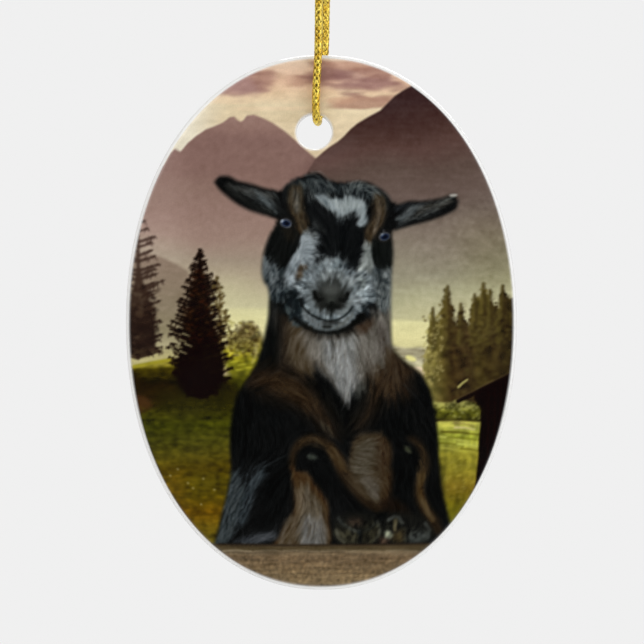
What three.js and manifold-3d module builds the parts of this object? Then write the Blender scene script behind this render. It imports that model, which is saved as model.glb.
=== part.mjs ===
// Oval porcelain ornament with a printed front, hung on a knotted gold cord.
//
// Millimetres. +Z is up, +X is to the right and the printed face looks along -Y.
// The origin is the hanging point: the crotch of the cord loop, just under its knot,
// where a hook or a twig carries the ornament.

import * as THREE from "three";
import Module from "manifold-3d";
import { mergeVertices } from "three/addons/utils/BufferGeometryUtils.js";

// ---- Driving dimensions ----

// plate
const PLATE_HEIGHT = 73;
const PLATE_WIDTH = 53.4;
const PLATE_THICKNESS = 4;
const OVAL_FULLNESS = 2.1; // 2 is a plain ellipse, and more fills out its shoulders
const EDGE_RADIUS = 0.6; // the glazed edge, rounded on both faces
const RIM_DROP = 40; // from the hanging point down to the plate's top edge

// hole for the cord
const HOLE_DIAMETER = 4.8;
const HOLE_DROP = 10.45; // from the top edge down to the hole's centre
const HOLE_SHIFT = -0.98; // the hole is pressed a little left of the long axis
const HOLE_EDGE_RADIUS = 0.35;

// printed coat on the front face
const PRINT_THICKNESS = 0.12;
const PRINT_MARGIN = 0.05; // bare glaze left between the print and any rounded edge

// cord, its knot and its two free ends
const CORD_DIAMETER = 1.15;
const KNOT_CLEARANCE = 0.65; // between the ends of the loop and the knot, so that the loop can sway
const KNOT_DIAMETER = 5;
const KNOT_HEIGHT = 4.7;
const TAIL_GAP = 0.45; // between the knot and each free end

// facets
const OVAL_SEGMENTS = 40; // the oval's outline has twice as many sides
const EDGE_SEGMENTS = 3;
const HOLE_SEGMENTS = 32;
const CORD_SIDES = 8;
const LOOP_STEPS = 80;
const TAIL_STEPS = 8;
const KNOT_SIDES = 20;

// The cord's route from the knot down the front, through the hole and up the back.
const LOOP_ROUTE = [
  [-0.4, -0.48, 0.1],
  [-0.42, -1.25, -1.3],
  [-0.42, -1.85, -3.2],
  [-0.4, -2.25, -7],
  [-0.36, -2.65, -14],
  [-0.34, -2.93, -21],
  [-0.34, -3.05, -28],
  [-0.36, -3.05, -34],
  [-0.45, -3.05, -40],
  [-0.68, -3.05, -44],
  [-0.76, -3.05, -46.3],
  [-0.75, -3.04, -47.4],
  [-0.72, -2.86, -48.15],
  [-0.68, -2.42, -48.68],
  [-0.62, -1.75, -48.93],
  [-0.58, -1, -48.97],
  [-0.54, 0, -48.98],
  [-0.5, 1, -48.97],
  [-0.46, 1.75, -48.93],
  [-0.42, 2.42, -48.68],
  [-0.38, 2.86, -48.15],
  [-0.34, 3.04, -47.4],
  [-0.24, 3.05, -46.3],
  [0.1, 3.05, -43],
  [0.46, 3.05, -39.5],
  [0.62, 3.05, -34],
  [0.72, 3.05, -28],
  [0.68, 2.93, -21],
  [0.6, 2.65, -14],
  [0.5, 2.25, -7],
  [0.44, 1.85, -3.2],
  [0.42, 1.25, -1.3],
  [0.4, 0.48, 0.1],
];

// The free ends, each from the middle of the knot's top.
const TAIL_LEFT_ROUTE = [
  [-0.64, 0.54, 0],
  [-0.95, 0.74, 2],
  [-1.7, 0.88, 4.6],
  [-2.9, 0.8, 7.2],
];
const TAIL_RIGHT_ROUTE = [
  [0.64, -0.54, 0],
  [0.92, -0.78, 1.9],
  [1.5, -1.15, 4],
  [2.4, -1.6, 6.2],
];

// ---- Places that follow from them ----

const plateCentreZ = -RIM_DROP - PLATE_HEIGHT / 2;
const holeX = HOLE_SHIFT;
const holeAboveCentre = PLATE_HEIGHT / 2 - HOLE_DROP;
const holeRadius = HOLE_DIAMETER / 2;
const cordRadius = CORD_DIAMETER / 2;
const loopTop = LOOP_ROUTE[0][2];
const knotBottom = loopTop + KNOT_CLEARANCE;
const knotTop = knotBottom + KNOT_HEIGHT;

// ---- Materials ----

const glaze = new THREE.MeshStandardMaterial({ color: 0xf6f4ef, roughness: 0.12, metalness: 0 });
const print = new THREE.MeshStandardMaterial({ color: 0x6b5f48, roughness: 0.15, metalness: 0 });
const goldCord = new THREE.MeshStandardMaterial({ color: 0xd9ae2e, roughness: 0.35, metalness: 0.85 });

// ---- Solids ----

const wasm = await Module();
wasm.setup();

function toManifold(geometry) {
  const bare = geometry.clone();
  bare.deleteAttribute("normal");
  bare.deleteAttribute("uv");
  const merged = mergeVertices(bare, 1e-5);
  return new wasm.Manifold(
    new wasm.Mesh({
      numProp: 3,
      vertProperties: new Float32Array(merged.attributes.position.array),
      triVerts: new Uint32Array(merged.index.array),
    }),
  );
}

function toGeometry(solid) {
  const mesh = solid.getMesh();
  const geometry = new THREE.BufferGeometry();
  geometry.setAttribute("position", new THREE.BufferAttribute(mesh.vertProperties, 3));
  geometry.setIndex(new THREE.BufferAttribute(mesh.triVerts, 1));
  geometry.computeVertexNormals();
  return geometry;
}

// An oval in the XY plane, smaller than the plate's outline by inset all round.
function ovalShape(inset) {
  const halfWidth = PLATE_WIDTH / 2 - inset;
  const halfHeight = PLATE_HEIGHT / 2 - inset;
  const points = [];
  for (let side = 0; side < 2 * OVAL_SEGMENTS; side += 1) {
    const turn = (side * Math.PI) / OVAL_SEGMENTS;
    const [across, up] = [Math.cos(turn), Math.sin(turn)].map(
      (value) => Math.sign(value) * Math.abs(value) ** (2 / OVAL_FULLNESS),
    );
    points.push(new THREE.Vector2(halfWidth * across, halfHeight * up));
  }
  return new THREE.Shape(points);
}

// Stands a shape that was drawn in XY and extruded along +Z upright, with its far side to the front.
function standUp(geometry) {
  return geometry.rotateX(Math.PI / 2);
}

// The cutter for the hole: a round bar along Z that flares by the edge radius at both faces.
function holeCutter() {
  const half = PLATE_THICKNESS / 2;
  const beyond = 1;
  const mouth = holeRadius + HOLE_EDGE_RADIUS;
  const profile = [new THREE.Vector2(0, -half - beyond), new THREE.Vector2(mouth, -half - beyond)];
  for (const side of [-1, 1]) {
    for (let step = 0; step <= EDGE_SEGMENTS; step += 1) {
      const share = side < 0 ? step / EDGE_SEGMENTS : 1 - step / EDGE_SEGMENTS;
      const turn = (share * Math.PI) / 2;
      const radius = mouth - HOLE_EDGE_RADIUS * Math.sin(turn);
      const height = half - HOLE_EDGE_RADIUS * (1 - Math.cos(turn));
      profile.push(new THREE.Vector2(radius, side * height));
    }
  }
  profile.push(new THREE.Vector2(mouth, half + beyond), new THREE.Vector2(0, half + beyond));
  return new THREE.LatheGeometry(profile, HOLE_SEGMENTS).rotateX(Math.PI / 2);
}

function plateGeometry() {
  const blank = new THREE.ExtrudeGeometry(ovalShape(0), {
    depth: PLATE_THICKNESS - 2 * EDGE_RADIUS,
    bevelEnabled: true,
    bevelThickness: EDGE_RADIUS,
    bevelSize: EDGE_RADIUS,
    bevelOffset: -EDGE_RADIUS,
    bevelSegments: EDGE_SEGMENTS,
    curveSegments: OVAL_SEGMENTS,
  });
  blank.translate(0, 0, EDGE_RADIUS - PLATE_THICKNESS / 2);
  const cutter = holeCutter();
  cutter.translate(holeX, holeAboveCentre, 0);
  return standUp(toGeometry(toManifold(blank).subtract(toManifold(cutter))));
}

function printGeometry() {
  const shape = ovalShape(EDGE_RADIUS + PRINT_MARGIN);
  const opening = new THREE.Path();
  const openingRadius = holeRadius + HOLE_EDGE_RADIUS + PRINT_MARGIN;
  opening.absarc(holeX, holeAboveCentre, openingRadius, 0, 2 * Math.PI, true);
  shape.holes.push(opening);
  const coat = new THREE.ExtrudeGeometry(shape, {
    depth: PRINT_THICKNESS,
    bevelEnabled: false,
    curveSegments: OVAL_SEGMENTS,
  });
  coat.translate(0, 0, PLATE_THICKNESS / 2);
  return standUp(coat);
}

// A smooth route whose steps are shared out between its points, so they are shorter where it bends.
class CordRoute extends THREE.CatmullRomCurve3 {
  getUtoTmapping(share) {
    return share;
  }
}

function cordGeometry(route, steps) {
  const section = new THREE.Shape();
  section.absarc(0, 0, cordRadius, 0, 2 * Math.PI, false);
  const points = route.map(([x, y, z]) => new THREE.Vector3(x, y, z));
  return new THREE.ExtrudeGeometry(section, {
    steps,
    bevelEnabled: false,
    curveSegments: CORD_SIDES / 2,
    extrudePath: new CordRoute(points, false, "centripetal"),
  });
}

// The knot as one rounded barrel, a little wider at the middle of its wraps than at its ends.
function knotGeometry() {
  const middle = KNOT_DIAMETER / 2;
  const end = middle * 0.62;
  const profile = [
    [0, 0],
    [end, 0],
    [middle * 0.93, 0.22],
    [middle, 0.5],
    [middle * 0.93, 0.78],
    [end, 1],
    [0, 1],
  ].map(([radius, share]) => new THREE.Vector2(radius, share * KNOT_HEIGHT));
  return new THREE.LatheGeometry(profile, KNOT_SIDES).rotateX(Math.PI / 2);
}

// ---- Assembly ----

function addMesh(group, name, geometry, material) {
  const mesh = new THREE.Mesh(geometry, material.clone());
  mesh.name = name;
  group.add(mesh);
  return mesh;
}

const assembly = new THREE.Group();

const hanger = new THREE.Group();
const knot = addMesh(hanger, "cord_knot", knotGeometry(), goldCord);
knot.position.z = knotBottom;
const tails = new THREE.Group();
tails.position.z = knotTop + TAIL_GAP;
addMesh(tails, "cord_tail_left", cordGeometry(TAIL_LEFT_ROUTE, TAIL_STEPS), goldCord);
addMesh(tails, "cord_tail_right", cordGeometry(TAIL_RIGHT_ROUTE, TAIL_STEPS), goldCord);
hanger.add(tails);
assembly.add(hanger);

addMesh(assembly, "cord_loop", cordGeometry(LOOP_ROUTE, LOOP_STEPS), goldCord);

const ornament = new THREE.Group();
ornament.position.z = plateCentreZ;
addMesh(ornament, "porcelain_plate", plateGeometry(), glaze);
addMesh(ornament, "front_print", printGeometry(), print);
assembly.add(ornament);

export default assembly;
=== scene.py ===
"""An oval porcelain ornament with a printed picture, hung by a knotted gold cord.

The file is laid out as an add-on and run as a script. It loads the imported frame, builds the glazed
plate, the printed coat and the braided cord around it, and sets a plain studio round them.
Lengths in the code are metres unless a name ends in _MM.
"""

import math

import bmesh
import bpy
import numpy as np
from bpy.props import FloatProperty, FloatVectorProperty, IntProperty, PointerProperty
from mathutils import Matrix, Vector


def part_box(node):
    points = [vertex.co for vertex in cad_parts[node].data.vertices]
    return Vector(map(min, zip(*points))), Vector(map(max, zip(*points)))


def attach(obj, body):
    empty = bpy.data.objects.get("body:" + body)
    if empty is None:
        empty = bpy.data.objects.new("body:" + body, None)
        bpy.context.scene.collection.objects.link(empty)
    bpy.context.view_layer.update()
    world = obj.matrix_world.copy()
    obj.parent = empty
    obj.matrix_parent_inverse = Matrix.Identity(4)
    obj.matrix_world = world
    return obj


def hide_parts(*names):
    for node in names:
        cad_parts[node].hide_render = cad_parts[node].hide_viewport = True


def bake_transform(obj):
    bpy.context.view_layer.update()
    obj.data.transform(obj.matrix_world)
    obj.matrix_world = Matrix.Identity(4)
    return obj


bl_info = {
    "name": "Oval porcelain ornament",
    "version": (1, 0, 0),
    "blender": (4, 5, 0),
    "location": "View3D > Sidebar > Ornament",
    "description": "Builds a printed porcelain ornament on a gold cord around its packed frame",
    "category": "Object",
}

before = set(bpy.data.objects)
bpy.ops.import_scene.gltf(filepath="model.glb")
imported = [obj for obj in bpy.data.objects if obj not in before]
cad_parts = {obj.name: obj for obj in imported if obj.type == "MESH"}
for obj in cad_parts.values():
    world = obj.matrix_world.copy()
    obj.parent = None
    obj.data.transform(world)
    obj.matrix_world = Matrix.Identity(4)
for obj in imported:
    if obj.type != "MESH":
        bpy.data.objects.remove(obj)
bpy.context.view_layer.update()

MM = 0.001

# ---- Places read from the frame ----

plate_low, plate_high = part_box("porcelain_plate")
print_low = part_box("front_print")[0]
PLATE_CENTRE = (plate_low + plate_high) / 2
PLATE_HALF_WIDTH = (plate_high.x - plate_low.x) / 2
PLATE_HALF_HEIGHT = (plate_high.z - plate_low.z) / 2
PLATE_HALF_THICKNESS = (plate_high.y - plate_low.y) / 2
PRINT_FACE_Y = print_low.y

# ---- Sizes that the frame doesn't give ----

FULLNESS = 2.1
EDGE_RADIUS = 0.6 * MM
HOLE_RADIUS = 2.4 * MM
HOLE_EDGE_RADIUS = 0.35 * MM
HOLE_X = -0.98 * MM
HOLE_Z = plate_high.z - 10.45 * MM
CORD_DIAMETER = 1.15 * MM
CORD_STEP = 0.11 * MM
CORD_SIDES = 30

# How the print ends: its margins, its thinnest coat, the white rims outside it, and its depth in the plate.
PRINT_MARGIN = 0.36 * MM
PRINT_HOLE_MARGIN = 0.06 * MM
PRINT_THINNEST = 0.012 * MM
PRINT_FEATHER = 0.26 * MM
PRINT_ROOT = 0.25 * MM
WHITE_RIM = 0.62 * MM
WHITE_HOLE_RIM = 0.3 * MM

# The cord's route from the knot down the front, through the hole and up the back.
LOOP_ROUTE_MM = [
    (-0.4, -0.48, 0.1), (-0.42, -1.25, -1.3), (-0.42, -1.85, -3.2), (-0.4, -2.25, -7),
    (-0.36, -2.65, -14), (-0.34, -2.93, -21), (-0.34, -3.05, -28), (-0.36, -3.05, -34),
    (-0.45, -3.05, -40), (-0.68, -3.05, -44), (-0.76, -3.05, -46.3), (-0.75, -3.04, -47.4),
    (-0.72, -2.86, -48.15), (-0.68, -2.42, -48.68), (-0.62, -1.75, -48.93), (-0.58, -1, -48.97),
    (-0.54, 0, -48.98), (-0.5, 1, -48.97), (-0.46, 1.75, -48.93), (-0.42, 2.42, -48.68),
    (-0.38, 2.86, -48.15), (-0.34, 3.04, -47.4), (-0.24, 3.05, -46.3), (0.1, 3.05, -43),
    (0.46, 3.05, -39.5), (0.62, 3.05, -34), (0.72, 3.05, -28), (0.68, 2.93, -21),
    (0.6, 2.65, -14), (0.5, 2.25, -7), (0.44, 1.85, -3.2), (0.42, 1.25, -1.3),
    (0.4, 0.48, 0.1),
]

# The free ends from the top of the knot to their sealed tips, above the knot's middle.
TAIL_LEFT_MM = [(-0.7, 0.58, 2.7), (-0.95, 0.74, 4.5), (-1.7, 0.88, 7.1), (-2.9, 0.8, 9.75)]
TAIL_RIGHT_MM = [(0.7, -0.58, 2.7), (0.92, -0.78, 4.4), (1.5, -1.15, 6.5), (2.4, -1.6, 8.75)]
KNOT_MIDDLE_MM = 3.1
KNOT_CORE_MM = 0.85
KNOT_WRAP_MM = 1.95
KNOT_HALF_RISE_MM = 1.72


# ---- Mesh helpers ----


def new_object(name, vertices, faces, material):
    """A mesh object in the scene, made of plain lists or arrays."""
    mesh = bpy.data.meshes.new(name)
    mesh.from_pydata([tuple(v) for v in vertices], [], [tuple(f) for f in faces])
    mesh.validate()
    mesh.update()
    mesh.polygons.foreach_set("use_smooth", [True] * len(mesh.polygons))
    made = bpy.data.objects.new(name, mesh)
    bpy.context.scene.collection.objects.link(made)
    mesh.materials.append(material)
    return made


def ring_faces(rings, count, closed=False):
    """Quads between rings of count points each, that follow on from each other."""
    faces = []
    last = rings if closed else rings - 1
    for ring in range(last):
        here, there = ring * count, ((ring + 1) % rings) * count
        for i in range(count):
            j = (i + 1) % count
            faces.append((here + i, here + j, there + j, there + i))
    return faces


# ---- Cord ----


def smooth_route(points, step):
    """Points a step apart along a centripetal Catmull-Rom curve through the given ones."""
    points = np.asarray(points, float)
    padded = np.vstack([2 * points[0] - points[1], points, 2 * points[-1] - points[-2]])
    fine = []
    for i in range(1, len(padded) - 2):
        p0, p1, p2, p3 = padded[i - 1 : i + 3]
        t1 = np.linalg.norm(p1 - p0) ** 0.5
        t2 = t1 + np.linalg.norm(p2 - p1) ** 0.5
        t3 = t2 + np.linalg.norm(p3 - p2) ** 0.5
        t = np.linspace(t1, t2, 24, endpoint=False)[:, None]
        a1 = (t1 - t) / t1 * p0 + t / t1 * p1
        a2 = (t2 - t) / (t2 - t1) * p1 + (t - t1) / (t2 - t1) * p2
        a3 = (t3 - t) / (t3 - t2) * p2 + (t - t2) / (t3 - t2) * p3
        b1 = (t2 - t) / t2 * a1 + t / t2 * a2
        b2 = (t3 - t) / (t3 - t1) * a2 + (t - t1) / (t3 - t1) * a3
        fine.append((t2 - t) / (t2 - t1) * b1 + (t - t1) / (t2 - t1) * b2)
    fine = np.vstack([*fine, points[-1:]])
    along = np.concatenate([[0], np.cumsum(np.linalg.norm(np.diff(fine, axis=0), axis=1))])
    wanted = np.linspace(0, along[-1], int(round(along[-1] / step)) + 1)
    return np.stack([np.interp(wanted, along, fine[:, k]) for k in range(3)], axis=1)


def knot_strand(start_angle):
    """One strand's way up through the knot, in millimetres: up the core, once round, up the core again."""
    middle, rise = KNOT_MIDDLE_MM, KNOT_HALF_RISE_MM
    way = [(KNOT_CORE_MM, 0, middle - rise), (KNOT_CORE_MM, 0, middle), (KNOT_CORE_MM, 0, middle + 0.9)]
    way.append((KNOT_CORE_MM + 0.18, 12, middle + rise - 0.12))
    way.append((1.45, 36, middle + rise + 0.1))
    wrap_from, wrap_to = 62, 402
    for k in range(13):
        share = k / 12
        swell = 1 + 0.03 * math.sin(share * math.pi)
        height = middle + 0.62 * rise * (1 - 2 * share) + 0.35 * (0.5 - share) ** 3 * 8
        way.append((KNOT_WRAP_MM * swell, wrap_from + share * (wrap_to - wrap_from), height))
    way.append((1.45, 428, middle - rise - 0.1))
    way.append((KNOT_CORE_MM + 0.18, 446, middle - rise + 0.12))
    way += [
        (KNOT_CORE_MM, 450, middle - 0.9), (KNOT_CORE_MM, 450, middle), (KNOT_CORE_MM, 450, middle + rise),
    ]
    points = []
    for radius, turn, height in way:
        angle = math.radians(start_angle + turn)
        points.append((radius * math.cos(angle), radius * math.sin(angle), height))
    return points


def cord_route():
    """The whole cord's centreline in millimetres, from one sealed tip to the other."""
    front = knot_strand(-130)[::-1]
    back = knot_strand(50)
    tails = [[(x, y, z + KNOT_MIDDLE_MM) for x, y, z in tail] for tail in (TAIL_LEFT_MM, TAIL_RIGHT_MM)]
    return tails[1][::-1] + front + LOOP_ROUTE_MM + back + tails[0]


def travel_frames(line):
    """Two sideways directions along a line, carried along it without twisting."""
    tangents = np.gradient(line, axis=0)
    tangents /= np.linalg.norm(tangents, axis=1)[:, None]
    side = np.cross(tangents[0], [0.3, 0.9, 0.1])
    side /= np.linalg.norm(side)
    sides = [side]
    for tangent in tangents[1:]:
        side = side - tangent * side.dot(tangent)
        side = side / np.linalg.norm(side)
        sides.append(side)
    sides = np.array(sides)
    return sides, np.cross(tangents, sides)


def braid_height(around, along, yarns, pitch):
    """How far a tubular braid stands out, from 0 in its gaps to 1 on its crowns, and which yarn is on top."""
    u = yarns * around + along / pitch
    v = yarns * around - along / pitch
    row, column = np.floor(u), np.floor(v)
    across_u = np.cos((u - row - 0.5) * math.pi)
    across_v = np.cos((v - column - 0.5) * math.pi)
    turn = np.where((row + column) % 2 == 0, 1.0, -1.0)
    over_u = turn * across_v
    over_v = -turn * across_u
    first = across_u**0.6 * (0.62 + 0.38 * over_u)
    second = across_v**0.6 * (0.62 + 0.38 * over_v)
    height = np.maximum(first, second)
    yarn = np.where(first > second, 0.5, 0.0) + 7.31 * row + 3.77 * column
    return height, yarn


def wander(rng, count, size):
    """A slow random drift along a line of points."""
    drift = np.interp(np.arange(count), np.arange(0, count + 12, 6), rng.normal(0, 1, (count + 17) // 6))
    return drift * size


# ---- Picture ----

CANVAS_STEP_MM = 0.1
CANVAS_HALF_MM = (27.2, 37.0)
OUTLINE_STEPS = 6


def smooth_outline(points):
    """A rounded copy of a closed outline, through all its points."""
    points = np.asarray(points, float)
    padded = np.vstack([points[-1:], points, points[:2]])
    t = np.linspace(0, 1, OUTLINE_STEPS, endpoint=False)[:, None]
    parts = []
    for p0, p1, p2, p3 in zip(padded, padded[1:], padded[2:], padded[3:]):
        parts.append(
            0.5 * (2 * p1 + (p2 - p0) * t + (2 * p0 - 5 * p1 + 4 * p2 - p3) * t**2
             + (3 * p1 - p0 - 3 * p2 + p3) * t**3),
        )
    return np.vstack(parts)


def smooth_step(value):
    value = np.clip(value, 0, 1)
    return value * value * (3 - 2 * value)


def ramp(position, stops):
    """Colours along a ramp: stops are (position, (red, green, blue)) in rising order."""
    places = [stop[0] for stop in stops]
    return np.stack([np.interp(position, places, [s[1][k] for s in stops]) for k in range(3)], axis=-1)


def mix(first, second, share):
    """A blend of two colours, or of two fields of them."""
    share = np.asarray(share)[..., None]
    return first * (1 - share) + np.asarray(second, float) * share


def graded(stops, plus=0.0, times=1.0):
    """A fill colour that follows Z, changed by fields over the canvas that are added and multiplied in."""

    def colour(x, z, part):
        plain = ramp(z, stops)
        if np.ndim(times):
            plain = plain * times[part][..., None]
        if np.ndim(plus):
            plain = plain + plus[part][..., None]
        return plain

    return colour


class Canvas:
    """A picture painted in millimetres from the plate's centre, X to the right and Z up."""

    def __init__(self, seed):
        self.rng = np.random.default_rng(seed)
        half_x, half_z = CANVAS_HALF_MM
        xs = np.arange(-half_x, half_x + 1e-6, CANVAS_STEP_MM)
        zs = np.arange(half_z, -half_z - 1e-6, -CANVAS_STEP_MM)
        self.x, self.z = np.meshgrid(xs, zs)
        self.colour = np.zeros((*self.x.shape, 3))
        self.bend_x = np.zeros(self.x.shape)
        self.bend_z = np.zeros(self.x.shape)

    def noise(self, wide, tall):
        """Soft noise of unit strength, with spots of the given size in millimetres."""
        rows, columns = self.x.shape
        field = np.fft.rfft2(self.rng.standard_normal((rows, columns)))
        field *= np.exp(-2 * (math.pi * np.fft.rfftfreq(columns) * wide / CANVAS_STEP_MM) ** 2)
        field *= np.exp(-2 * (math.pi * np.fft.fftfreq(rows) * tall / CANVAS_STEP_MM) ** 2)[:, None]
        field = np.fft.irfft2(field, (rows, columns))
        return field / field.std()

    def away(self, centre_x, centre_z, radius_x, radius_z):
        """How far each point lies from an oval's centre, where 1 is on the oval."""
        return np.hypot((self.x - centre_x) / radius_x, (self.z - centre_z) / radius_z)

    def scatter(self, count, low_x, high_x, low_z, high_z):
        """Yield random points in a box, one by one, so that each one's other draws can follow it."""
        for _ in range(count):
            yield self.rng.uniform(low_x, high_x), self.rng.uniform(low_z, high_z)

    def either(self, first, second, share=0.5):
        """The first shade in a share of the calls, and the second in the others."""
        return first if self.rng.random() < share else second

    def window(self, low_x, low_z, high_x, high_z):
        """The part of the canvas that covers a box, as a pair of slices."""
        half_x, half_z = CANVAS_HALF_MM
        rows, columns = self.x.shape
        top = int(np.clip((half_z - high_z) / CANVAS_STEP_MM, 0, rows))
        bottom = int(np.clip((half_z - low_z) / CANVAS_STEP_MM + 2, 0, rows))
        left = int(np.clip((low_x + half_x) / CANVAS_STEP_MM, 0, columns))
        right = int(np.clip((high_x + half_x) / CANVAS_STEP_MM + 2, 0, columns))
        return slice(top, bottom), slice(left, right)

    def lay(self, part, mask, colour):
        self.colour[part] = mix(self.colour[part], colour, mask)

    def cover(self, outline, soft, jag=0.0, rounded=True):
        """How much an outline covers each point near it, feathered over soft and ragged by jag."""
        points = smooth_outline(outline) if rounded else np.asarray(outline, float)
        reach = soft + 2.5 * jag + 0.2
        low, high = points.min(axis=0) - reach, points.max(axis=0) + reach
        part = self.window(low[0], low[1], high[0], high[1])
        x = self.x[part] + jag * self.bend_x[part]
        z = self.z[part] + jag * self.bend_z[part]
        inside = np.zeros(x.shape, bool)
        nearest = np.full(x.shape, 1e9)
        for (ax, az), (bx, bz) in zip(points, np.roll(points, -1, axis=0)):
            dx, dz = bx - ax, bz - az
            size = dx * dx + dz * dz + 1e-12
            share = np.clip(((x - ax) * dx + (z - az) * dz) / size, 0, 1)
            nearest = np.minimum(nearest, (x - ax - share * dx) ** 2 + (z - az - share * dz) ** 2)
            if az != bz:
                inside ^= ((az > z) != (bz > z)) & (x < ax + (z - az) * dx / dz)
        distance = np.sqrt(nearest) * np.where(inside, 1, -1)
        return part, smooth_step(0.5 + 0.5 * distance / soft)

    def fill(self, outline, colour, soft=0.12, jag=0.0, opacity=1.0, rounded=True):
        """Paint an outline's inside with a colour, or with a function of X and Z that gives one."""
        part, mask = self.cover(outline, soft, jag, rounded)
        if callable(colour):
            colour = colour(self.x[part], self.z[part], part)
        self.lay(part, mask * opacity, colour)

    def oval(self, centre, radii, colour, soft, opacity, tilt=0.0):
        turns = np.linspace(0, 2 * math.pi, 16, endpoint=False)
        tilt = math.radians(tilt)
        u, v = radii[0] * np.cos(turns), radii[1] * np.sin(turns)
        x = centre[0] + u * math.cos(tilt) - v * math.sin(tilt)
        z = centre[1] + u * math.sin(tilt) + v * math.cos(tilt)
        self.fill(np.stack([x, z], axis=1), colour, soft, 0, opacity)

    def stroke(self, points, start_width, end_width, colour, opacity=1.0, soft=0.07):
        """Draw a tapering line along points."""
        points = np.asarray(points, float)
        widths = np.linspace(start_width, end_width, len(points)) / 2
        reach = widths.max() + soft
        low, high = points.min(axis=0) - reach, points.max(axis=0) + reach
        part = self.window(low[0], low[1], high[0], high[1])
        x, z = self.x[part], self.z[part]
        mask = np.zeros(x.shape)
        for (ax, az), (bx, bz), wa, wb in zip(points, points[1:], widths, widths[1:]):
            dx, dz = bx - ax, bz - az
            size = dx * dx + dz * dz + 1e-12
            share = np.clip(((x - ax) * dx + (z - az) * dz) / size, 0, 1)
            away = np.hypot(x - ax - share * dx, z - az - share * dz)
            mask = np.maximum(mask, np.clip((wa + (wb - wa) * share + soft - away) / (2 * soft), 0, 1))
        self.lay(part, mask * opacity, colour)

    def comb(self, samples):
        """Set which way hair lies from (x, z, degrees) samples, and make strands that follow it."""
        cosine = np.zeros(self.x.shape)
        sine = np.zeros(self.x.shape)
        for x, z, degrees in samples:
            weight = 1 / ((self.x - x) ** 2 + (self.z - z) ** 2 + 0.4) ** 2
            cosine += weight * math.cos(math.radians(2 * degrees))
            sine += weight * math.sin(math.radians(2 * degrees))
        angle = np.arctan2(sine, cosine) / 2 + 0.12 * self.noise(0.8, 0.8)
        self.hair_x, self.hair_z = np.cos(angle), np.sin(angle)
        fine = self.noise(0.06, 0.06)
        broad = self.noise(0.16, 0.16)
        self.fine = self.drag(fine, 9)
        self.broad = self.drag(broad, 12)
        self.bend_x = self.broad * self.hair_x
        self.bend_z = self.broad * self.hair_z

    def drag(self, field, steps):
        """Smear a field along the hair."""
        rows, columns = field.shape
        grid_row, grid_column = np.mgrid[0:rows, 0:columns]
        total = field.copy()
        for sign in (1, -1):
            row, column = grid_row.astype(float), grid_column.astype(float)
            went_x, went_z = sign * self.hair_x, sign * self.hair_z
            for _ in range(steps):
                row = np.clip(row - went_z, 0, rows - 1)
                column = np.clip(column + went_x, 0, columns - 1)
                r, c = np.rint(row).astype(int), np.rint(column).astype(int)
                total += field[r, c]
                next_x, next_z = self.hair_x[r, c], self.hair_z[r, c]
                turn = np.where(next_x * went_x + next_z * went_z < 0, -1, 1)
                went_x, went_z = next_x * turn, next_z * turn
        return total / total.std()

    def hairs(self, outline, count, length, colour, opacity, width=0.1, spread=0.25):
        """Draw single hairs, each from a random point in an outline along the way hair lies."""
        outline = np.asarray(outline, float)
        low, high = outline.min(axis=0), outline.max(axis=0)
        drawn = 0
        for _ in range(count * 12):
            if drawn == count:
                break
            x, z = self.rng.uniform(low, high)
            ahead = np.roll(outline, -1, axis=0)
            rising = (outline[:, 1] > z) != (ahead[:, 1] > z)
            crossing = outline[:, 0] + (z - outline[:, 1]) * (ahead[:, 0] - outline[:, 0]) / (
                ahead[:, 1] - outline[:, 1] + 1e-12
            )
            if np.count_nonzero(rising & (x < crossing)) % 2 == 0:
                continue
            drawn += 1
            reach = length * self.rng.uniform(0.6, 1.3)
            lean = self.rng.normal(0, spread)
            line = [(x, z)]
            went_x = went_z = 0.0
            for _ in range(4):
                row = int(np.clip((CANVAS_HALF_MM[1] - z) / CANVAS_STEP_MM, 0, self.x.shape[0] - 1))
                column = int(np.clip((x + CANVAS_HALF_MM[0]) / CANVAS_STEP_MM, 0, self.x.shape[1] - 1))
                dx, dz = self.hair_x[row, column], self.hair_z[row, column]
                dx, dz = dx * math.cos(lean) - dz * math.sin(lean), dx * math.sin(lean) + dz * math.cos(lean)
                if dx * went_x + dz * went_z < 0:
                    dx, dz = -dx, -dz
                went_x, went_z = dx, dz
                x, z = x + dx * reach / 4, z + dz * reach / 4
                line.append((x, z))
            self.stroke(line, width, width * 0.4, colour, opacity * self.rng.uniform(0.5, 1))

    @staticmethod
    def softened(field, reach):
        for axis in (0, 1):
            field = 0.5 * field + 0.25 * (np.roll(field, reach, axis) + np.roll(field, -reach, axis))
        return field

    def sharpen(self, amount):
        """Strengthen fine detail, which the mesh's spacing would soften."""
        soft = self.softened(self.softened(self.colour, 1), 2)
        self.colour += amount * np.clip(self.colour - soft, -45, 45)

    def sample(self, x, z):
        """Colours at points, smoothed over the canvas cells round each of them."""
        rows, columns = self.x.shape
        row = np.clip((CANVAS_HALF_MM[1] - z) / CANVAS_STEP_MM, 0, rows - 1.001)
        column = np.clip((x + CANVAS_HALF_MM[0]) / CANVAS_STEP_MM, 0, columns - 1.001)
        soft = self.softened(self.colour, 1)
        r, c = row.astype(int), column.astype(int)
        down, over = (row - r)[..., None], (column - c)[..., None]
        top = soft[r, c] * (1 - over) + soft[r, c + 1] * over
        bottom = soft[r + 1, c] * (1 - over) + soft[r + 1, c + 1] * over
        return np.clip(top * (1 - down) + bottom * down, 0, 255)


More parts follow.
